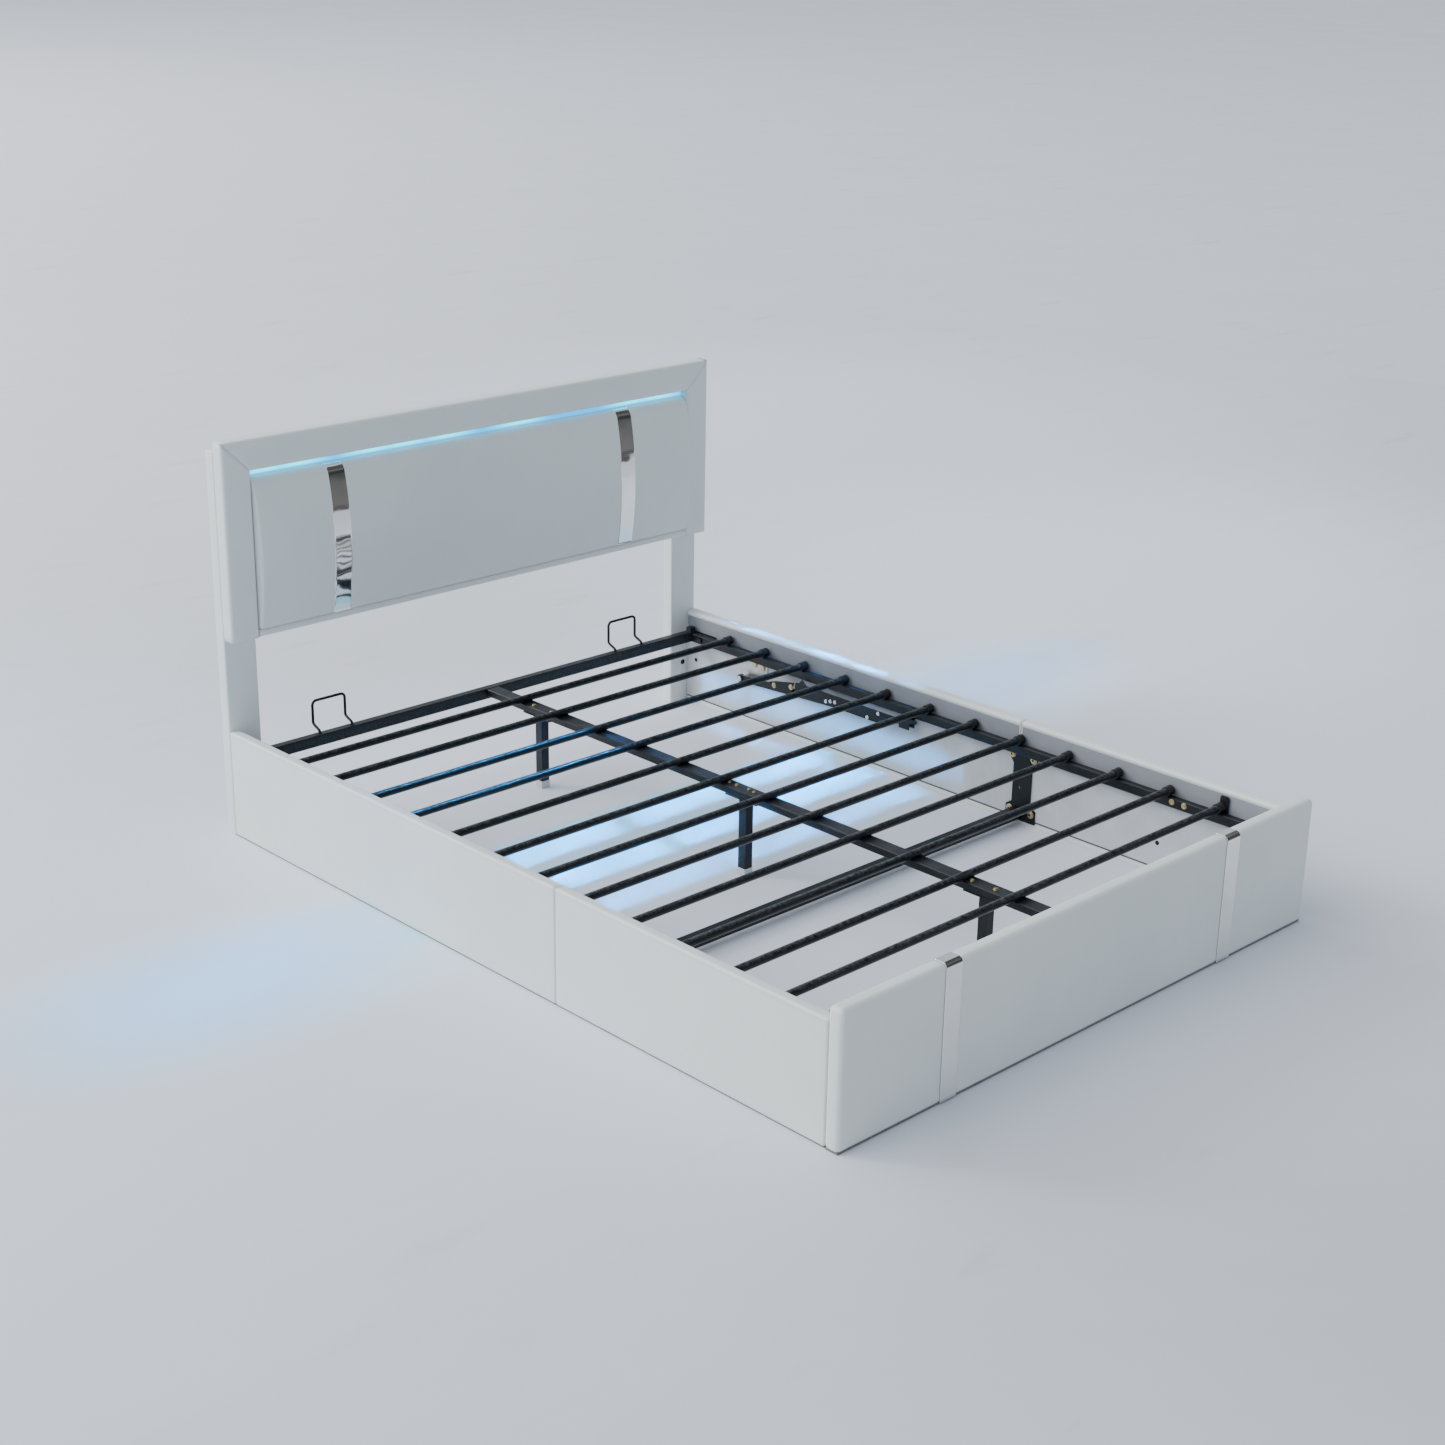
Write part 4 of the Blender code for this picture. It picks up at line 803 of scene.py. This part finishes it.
def make_chrome():
    """Chrome strips down the panel and round the footboard."""
    low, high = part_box("footboard")
    run = panel_run()

    def panel_path(offset):
        return panel_front(np.linspace(0.002, run - 0.012, 72), offset)

    def foot_path(offset):
        turns = np.linspace(0, math.pi / 2, 14)
        reach = FOOT_ROUND + offset
        front = low.y + FOOT_ROUND
        back = high.y - FOOT_ROUND
        shoulder = high.z - FOOT_ROUND
        climb = np.linspace(FOOT_STRIP_HEM, shoulder, 40)[:-1]
        top = np.linspace(front, back, 6)[1:-1]
        fall = np.linspace(shoulder, high.z - FOOT_STRIP_RETURN, 4)[1:]
        y = [np.full(len(climb), low.y - offset), front - reach * np.cos(turns), top,
             back + reach * np.sin(turns), np.full(len(fall), high.y + offset)]
        z = [climb, shoulder + reach * np.sin(turns), np.full(len(top), high.z + offset),
             shoulder + reach * np.cos(turns), fall]
        return np.concatenate(y), np.concatenate(z)

    for label, _ in SIDES:
        ribbon("panel_chrome_" + label, "headboard_strip_" + label, panel_path)
        ribbon("foot_chrome_" + label, "footboard_strip_" + label, foot_path)


def turned(profile, sides):
    """Points and faces turned round Z from (radius, height) pairs; a radius of zero closes an end."""
    points, faces, rings = [], [], []
    for radius, height in profile:
        count = sides if radius else 1
        rings.append(range(len(points), len(points) + count))
        for i in range(count):
            turn = 2 * math.pi * i / sides
            points.append(Vector((radius * math.cos(turn), radius * math.sin(turn), height)))
    for low, high in zip(rings, rings[1:]):
        for i in range(sides):
            j = (i + 1) % sides
            face = [low[i % len(low)], low[j % len(low)], high[j % len(high)], high[i % len(high)]]
            faces.append(list(dict.fromkeys(face)))
    return points, faces


def seated(points, place, direction):
    """Points moved so that local Z lies along a direction from a place."""
    turn = Vector(direction).to_track_quat("Z", "Y").to_matrix()
    return [Vector(place) + turn @ point for point in points]


def gathered(shapes):
    """Several shapes, each of points and faces, as one."""
    points, faces = [], []
    for more, rings in shapes:
        faces += [[k + len(points) for k in face] for face in rings]
        points += more
    return points, faces


def bolt_shape(radius, height):
    """A washer and a domed head with a driver socket."""
    wide, thin, socket = radius * 1.28, height * 0.22, radius * 0.42
    profile = [(0, 0), (wide, 0), (wide, thin * 0.7), (wide - thin * 0.3, thin), (radius, thin),
               (radius, height * 0.62), (radius * 0.93, height * 0.84), (radius * 0.72, height),
               (socket, height * 1.04), (socket * 0.9, height * 0.5), (0, height * 0.42)]
    return turned(profile, BOLT_SIDES)


def make_bolts(name, spots, direction, radius, height, look=BRASS, body="base"):
    """Bolts of one size at several places, all facing one way."""
    points, faces = bolt_shape(radius, height)
    shapes = [(seated(points, spot, direction), faces) for spot in spots]
    new_piece(name, *gathered(shapes), look, body, "zinc_plate")


def make_lug(label, side):
    """Flat plate with broken edges that swings with a strut's rod."""
    count = len(LUG_OUTLINE)
    points = [(x * side, y, z) for x in LUG_FACES for y, z in LUG_OUTLINE]
    faces = [list(range(count))[::-1], list(range(count, 2 * count))]
    faces += [(k, (k + 1) % count, (k + 1) % count + count, k + count) for k in range(count)]
    if side > 0:
        faces = [face[::-1] for face in faces]
    piece = new_piece("strut_lug_" + label, points, faces, STEEL, "strut_rod_" + label)
    edges = piece.modifiers.new("Broken edges", "BEVEL")
    edges.width = 0.0004
    edges.segments = 2


def make_slats():
    """Round slats with a plastic sleeve pressed on each end."""
    for number in range(1, 13):
        node = "slat_%02d" % number
        low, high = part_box(node)
        y, z = (low.y + high.y) / 2, (low.z + high.z) / 2
        reach = high.x - SLEEVE_LENGTH / 2
        profile = [(0, -reach), (SLAT_RADIUS, -reach)]
        profile += [(SLAT_RADIUS, x) for x in np.linspace(-reach, reach, 24)[1:-1]]
        profile += [(SLAT_RADIUS, reach), (0, reach)]
        points, faces = turned(profile, SLAT_SIDES)
        tube = new_piece("slat_tube_%02d" % number, seated(points, (0, y, z), X_AXIS), faces, SLAT_STEEL)
        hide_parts(node)
        inner = SLEEVE_RADIUS - SLEEVE_LIP / 2
        sleeve = [(0, 0), (inner * 0.8, 0), (inner, 0.0008), (SLEEVE_RADIUS, 0.0024),
                  (SLEEVE_RADIUS, SLEEVE_LIP * 2), (SLEEVE_RADIUS - 0.0006, SLEEVE_LIP * 2.3),
                  (SLEEVE_RADIUS - 0.0006, SLEEVE_LENGTH - 0.0016), (SLEEVE_RADIUS - 0.0018, SLEEVE_LENGTH),
                  (SLAT_RADIUS, SLEEVE_LENGTH)]
        points, faces = turned(sleeve, SLAT_SIDES)
        for label, side in SIDES:
            place = seated(points, (high.x * side, y, z), -side * X_AXIS)
            new_piece("slat_sleeve_%02d_%s" % (number, label), place, faces, PLASTIC)


def bent_path(corners, radii, steps=7):
    """A path through corner points with each inner corner rounded to its radius."""
    path = [corners[0]]
    for before, corner, after, radius in zip(corners, corners[1:], corners[2:], radii):
        back, on = (before - corner).normalized(), (after - corner).normalized()
        half = back.angle(on) / 2
        reach = radius / math.tan(half)
        centre = corner + (back + on).normalized() * (radius / math.sin(half))
        start, end = corner + back * reach - centre, corner + on * reach - centre
        path += [centre + start.slerp(end, k / steps).normalized() * radius for k in range(steps + 1)]
    return path + [corners[-1]]


def wire(name, path, radius):
    """A round steel wire along a path, on the platform."""
    curve = bpy.data.curves.new(name, "CURVE")
    curve.dimensions = "3D"
    curve.bevel_depth = radius
    curve.bevel_resolution = 5
    curve.use_fill_caps = True
    line = curve.splines.new("POLY")
    line.points.add(len(path) - 1)
    for target, point in zip(line.points, path):
        target.co = (*point, 1)
    curve.materials.append(STEEL)
    piece = placed(name, curve)
    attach(piece, "platform")
    return piece


def make_loops():
    """Wire loops at the head, which lean back before they rise, in small grommets."""
    for label, _ in SIDES:
        node = "mattress_loop_" + label
        low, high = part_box(node)
        middle, y0, z0 = (low.x + high.x) / 2, high.y - LOOP_WIRE - LOOP_LEAN + 0.0005, low.z
        z1 = z0 + LOOP_STUB
        z2 = z1 + LOOP_LEAN_RISE
        z3 = z2 + LOOP_RISE
        half = [Vector((-LOOP_HALF, y0, z0 - 0.004)), Vector((-LOOP_HALF, y0, z1)),
                Vector((-LOOP_HALF, y0 + LOOP_LEAN, z2)), Vector((-LOOP_HALF, y0 + LOOP_LEAN, z3))]
        corners = half + [Vector((-p.x, p.y, p.z)) for p in reversed(half)]
        corners = [p + Vector((middle, 0, 0)) for p in corners]
        bends = [LOOP_SMALL_BEND, LOOP_SMALL_BEND, LOOP_BEND]
        loop = wire("loop_wire_" + label, bent_path(corners, bends + bends[::-1]), LOOP_WIRE * 0.92)
        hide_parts(node)
        wide, narrow = LOOP_WIRE * 1.7, LOOP_WIRE * 1.3
        points, faces = turned([(0, 0), (wide, 0), (wide, 0.0008), (narrow, 0.0016), (0, 0.0018)], 24)
        spots = [(middle + way * LOOP_HALF, y0, z0 - 0.0002) for way in (-1, 1)]
        shapes = [(seated(points, spot, Z_AXIS), faces) for spot in spots]
        new_piece("loop_grommets_" + label, *gathered(shapes), PLASTIC)


def dress(node, look, edge=0.0005):
    """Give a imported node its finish, and break its sharp edges so that they catch the light."""
    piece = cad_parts[node]
    mesh = piece.data
    piece.material_slots[0].material = look
    for name in ("custom_normal", "sharp_edge", "sharp_face"):
        if name in mesh.attributes:
            mesh.attributes.remove(mesh.attributes[name])
    mesh.shade_smooth()
    weld = piece.modifiers.new("Weld", "WELD")
    weld.merge_threshold = 0.00001
    flat = piece.modifiers.new("Flat faces", "DECIMATE")
    flat.decimate_type = "DISSOLVE"
    flat.angle_limit = math.radians(1)
    bevel = piece.modifiers.new("Broken edges", "BEVEL")
    bevel.width = edge
    bevel.segments = 2
    bevel.limit_method = "ANGLE"
    bevel.angle_limit = math.radians(32)
    bevel.harden_normals = True


def dress_frame():
    """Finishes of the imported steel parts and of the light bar."""
    steel = ["platform_head_bar", "platform_foot_bar", "platform_spine", "lower_cross_beam"]
    steel += ["centre_leg_%d" % number for number in (1, 2, 3)]
    for label, _ in SIDES:
        steel += [part + label for part in ("platform_side_", "mattress_guide_", "strut_bar_", "strut_fork_",
                                            "rail_tie_", "corner_bracket_", "hinge_plate_", "strut_rod_",
                                            "strut_cylinder_")]
        dress("strut_mount_" + label, ZINC)
    for node in steel:
        dress(node, STEEL, 0.0002 if node.startswith("platform_side") else 0.0005)
    dress("light_channel", ALUMINIUM, 0.0002)
    dress("light_strip", DIFFUSER, 0.0004)
    dress("headboard_back_board", BACKING, 0.0006)


def make_fasteners():
    """Yellow zinc bolts on the plates, the side members and the struts' lugs, rivets, and dark discs that
    paint the shade in holes.
    """
    for label, side in SIDES:
        inward = -side * X_AXIS

        def bolts(name, face, places, size, look=BRASS, body="base", way=inward):
            make_bolts(name + label, [(face * side, y, z) for y, z in places], way, *size, look, body)

        low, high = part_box("rail_tie_" + label)
        inner = min(low.x * side, high.x * side)
        middle = (low.y + high.y) / 2
        places = [(middle + way * 0.035, z) for way in (-1, 1) for z in (0.036, 0.188)]
        bolts("rail_tie_bolts_", inner + TIE_THICK, places, LARGE_BOLT)
        y, z = STRUT_LOW[1], STRUT_LOW[2]
        places = [(y - 0.086 * far, z + 0.057 * up) for far, up in ((0.42, 0.81), (0.80, 0.75))]
        bolts("strut_mount_bolts_", MOUNT_FACE, places, LARGE_BOLT)
        bolts("strut_bar_rivets_", BAR_FACE, BAR_RIVETS, BAR_RIVET, BRIGHT, "platform")
        make_lug(label, side)
        bolts("strut_lug_rivets_", LUG_FACES[0], LUG_RIVETS, LUG_RIVET, body="strut_rod_" + label)
        places = ((-0.760, 0.2145), (-0.724, 0.2145))
        bolts("member_bolts_", MEMBER_FACE, places, MIDDLE_BOLT, body="platform")
        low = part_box("corner_bracket_" + label)[0]
        heights = (0.080, 0.130)
        bolts("corner_rail_bolts_", MOUNT_FACE, [(low.y + 0.025, z) for z in heights], LARGE_BOLT)
        places = [(low.y + 0.003, z) for z in heights]
        bolts("corner_foot_bolts_", FOOT_BOLTS_OUT, places, LARGE_BOLT, way=Y_AXIS)
        # Dark discs that paint the shade inside holes in the rails, at the rails' ends and in the posts
        bolts("rail_hole_shades_", RAIL_FACE, ((0.9994, 0.135), (-0.6742, 0.083)), (0.0048, RECESSED), HOLE_SHADE)
        bolts("rail_end_staple_", 0.7645, ((-1.0115, 0.279),), (0.0022, RECESSED), HOLE_SHADE, way=Z_AXIS)
        bolts("post_hole_shade_", 0.7534, ((1.0418, 0.1215),), (0.0062, RECESSED), HOLE_SHADE, way=-Y_AXIS)


def make_leg_fittings():
    """Bolts on the spine over each leg, and the plastic cap on each leg's foot."""
    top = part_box("platform_spine")[1].z
    half = LEG_CAP_HALF
    for number, places in enumerate(LEG_BOLTS, 1):
        size = LEG_BOLT if len(places) < 3 else SMALL_LEG_BOLT
        make_bolts("leg_bolts_%d" % number, [(x, y, top) for x, y in places], Z_AXIS, *size, body="platform")
        low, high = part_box("centre_leg_%d" % number)
        middle = (low.y + high.y) / 2
        corner, far = (-half, middle - half, 0.0002), (half, middle + half, LEG_CAP_HEIGHT)
        points, _, faces = block_grid(corner, far, [0.0012] * 3, [0.01] * 3)
        new_piece("leg_cap_%d" % number, points, faces, CAP)


def make_staples():
    """Staples that hold the cloth on the back board, all round its edge."""
    low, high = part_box("headboard_back_board")
    low.x, low.z = low.x + STAPLE_INSET, low.z + STAPLE_INSET
    high.x, high.z = high.x - STAPLE_INSET, high.z - STAPLE_INSET
    points, faces = turned([(0, 0), (STAPLE_WIRE, 0), (STAPLE_WIRE, STAPLE_LENGTH), (0, STAPLE_LENGTH)], 8)
    spots = []
    for axis, start, end in ((X_AXIS, low.x, high.x), (Z_AXIS, low.z, high.z)):
        for place in np.arange(start + STAPLE_PITCH / 2, end - STAPLE_PITCH / 4, STAPLE_PITCH):
            if axis == X_AXIS:
                spots += [(axis, (place, high.y, z)) for z in (low.z, high.z)]
            else:
                spots += [(axis, (x, high.y, place)) for x in (low.x, high.x)]
    shapes = [(seated(points, spot, axis), faces) for axis, spot in spots]
    new_piece("back_staples", *gathered(shapes), BRIGHT, "base", "zinc_plate")


def make_camera():
    """The camera, turned by its yaw, pitch and roll."""
    yaw, pitch, roll = (math.radians(angle) for angle in (CAMERA_YAW, CAMERA_PITCH, CAMERA_ROLL))
    ahead = Vector((-math.sin(yaw) * math.cos(pitch), math.cos(yaw) * math.cos(pitch), math.sin(pitch)))
    level = Vector((math.cos(yaw), math.sin(yaw), 0))
    upright = level.cross(ahead)
    right = level * math.cos(roll) + upright * math.sin(roll)
    up = upright * math.cos(roll) - level * math.sin(roll)
    lens = bpy.data.cameras.new("camera")
    lens.sensor_width = SENSOR_WIDTH
    lens.lens = SENSOR_WIDTH * FOCAL_PIXELS / IMAGE_PIXELS
    lens.clip_end = 2 * FLOOR_RADIUS
    camera = placed("camera", lens)
    turn = Matrix((right, up, -ahead)).transposed().to_4x4()
    camera.matrix_world = Matrix.Translation(CAMERA_PLACE) @ turn
    bpy.context.scene.camera = camera


def facing(direction):
    """Turn of a light whose rays run in a direction."""
    return Vector(direction).to_track_quat("-Z", "Y").to_euler()


def area_light(name, place, target, size, power, colour=(1, 1, 1)):
    """A soft square light that faces a point."""
    lamp = bpy.data.lights.new(name, "AREA")
    lamp.size = size
    lamp.energy = power
    lamp.color = colour
    light = placed(name, lamp)
    light.location = place
    light.rotation_euler = facing(Vector(target) - Vector(place))
    return light


def beam(name, place, target, size, spread, share, colour):
    """A rectangular light, not seen in mirrors, with rays that keep close together; its width lies level."""
    light = area_light(name, place, target, size[0], POOL_POWER * share, colour)
    light.data.shape = "RECTANGLE"
    light.data.size_y = size[1]
    light.data.spread = math.radians(spread)
    light.visible_camera = False
    light.visible_glossy = False
    return light


def flag_cloth():
    """Cloth of the flag, in bands of dark and paler tone that are seen only as painted reflections."""
    made, tree, shader = new_material("flag cloth", Roughness=0.9)
    height = add(tree, "SeparateXYZ", {"Vector": add(tree, "TexCoord").outputs["Object"]}).outputs["Z"]
    share = add(tree, "MapRange", {"Value": height, "From Max": FLAG_HEIGHTS[1]}).outputs[0]
    bands = add(tree, "ValToRGB", {"Fac": share})
    for place, tone in FLAG_BANDS:
        stop = bands.color_ramp.elements.new(place)
        stop.color = (tone, tone * 0.98, tone * 0.93, 1)
    tree.links.new(bands.outputs["Color"], shader["Base Color"])
    return made


def make_studio():
    """Pale floor with painted pools of light and shade, even sky, soft lights, a dark flag that only mirrors
    see, and the blue light's spill.
    """
    points, faces = turned([(FLOOR_RADIUS, 0), (0, 0)], 96)
    placed("studio_floor", new_mesh("studio_floor", points, faces, studio_floor()))

    world = bpy.data.worlds.new("studio")
    world.use_nodes = True
    sky = world.node_tree.nodes["Background"].inputs
    sky["Color"].default_value = (0.78, 0.88, 1.0, 1)
    sky["Strength"].default_value = SKY_STRENGTH
    bpy.context.scene.world = world

    lamp = bpy.data.lights.new("soft_key", "SUN")
    lamp.energy = KEY_STRENGTH
    lamp.angle = math.radians(50)
    placed("soft_key", lamp).rotation_euler = facing(KEY_DIRECTION)
    area_light("left_wash", (-6.0, 8.0, 5.0), (0.0, 6.0, 0), 4.0, 700)
    area_light("back_wash", (-2.0, 22.0, 12.0), (8.0, 22.0, 0), 14.0, 3500)

    # The flag only paints reflections: it is hidden from the camera, from diffuse light and from shadows
    points = [FLAG_RADIUS * Vector((math.cos(turn), math.sin(turn), height / FLAG_RADIUS))
              for turn in np.radians(np.linspace(*FLAG_TURNS, 25)) for height in FLAG_HEIGHTS]
    faces = [(2 * k, 2 * k + 2, 2 * k + 3, 2 * k + 1) for k in range(24)]
    flag = placed("flag", new_mesh("flag", points, faces, flag_cloth()))
    for ray in ("camera", "diffuse", "shadow", "transmission", "volume_scatter"):
        setattr(flag, "visible_" + ray, False)

    for number, (y, lean, wide, share) in enumerate(POOL_BANDS):
        source, target = (0.20, y + lean, 1.5), (0.20, y, 0.0)
        beam("pool_inside_%d" % number, source, target, (1.40, wide), 3, share, DEEP_BLUE)
    beam("pool_left", (-1.25, 1.00, 2.8), (-1.25, 0.34, 0.0), (0.80, 0.30), 14, 0.45, BLUE)
    beam("pool_right", (1.50, 1.00, 2.8), (1.50, 0.54, 0.0), (0.95, 0.30), 16, 0.45, BLUE)
    beam("pool_rail", (1.20, 0.57, 2.8), (0.782, 0.57, 0.279), (0.56, 0.07), 4, 0.4, DEEP_BLUE)
    beam("pool_lining", (-0.50, 0.47, 0.150), (0.766, 0.47, 0.085), (1.0, 0.07), 3, 0.22, DEEP_BLUE)
    source, target = (1.25, 0.45, 2.7), (-0.56, 0.45, 0.24)
    gleam = beam("slat_gleam", source, target, (0.20, 0.80), 3, 1.2, (0.0, 0.30, 0.9))
    gleam.visible_glossy = True
    gleam.visible_diffuse = False
    beam("gap_glow", (0, 1.012, 0.940), (0, 1.000, 0.900), (1.42, 0.008), 170, 0.025, (0.0, 0.46, 1.0))


def main():
    make_camera()
    make_studio()
    make_footboard()
    make_rails()
    make_border()
    make_posts()
    make_panel()
    make_light_cover()
    make_chrome()
    make_slats()
    make_loops()
    dress_frame()
    make_fasteners()
    make_leg_fittings()
    make_staples()


main()
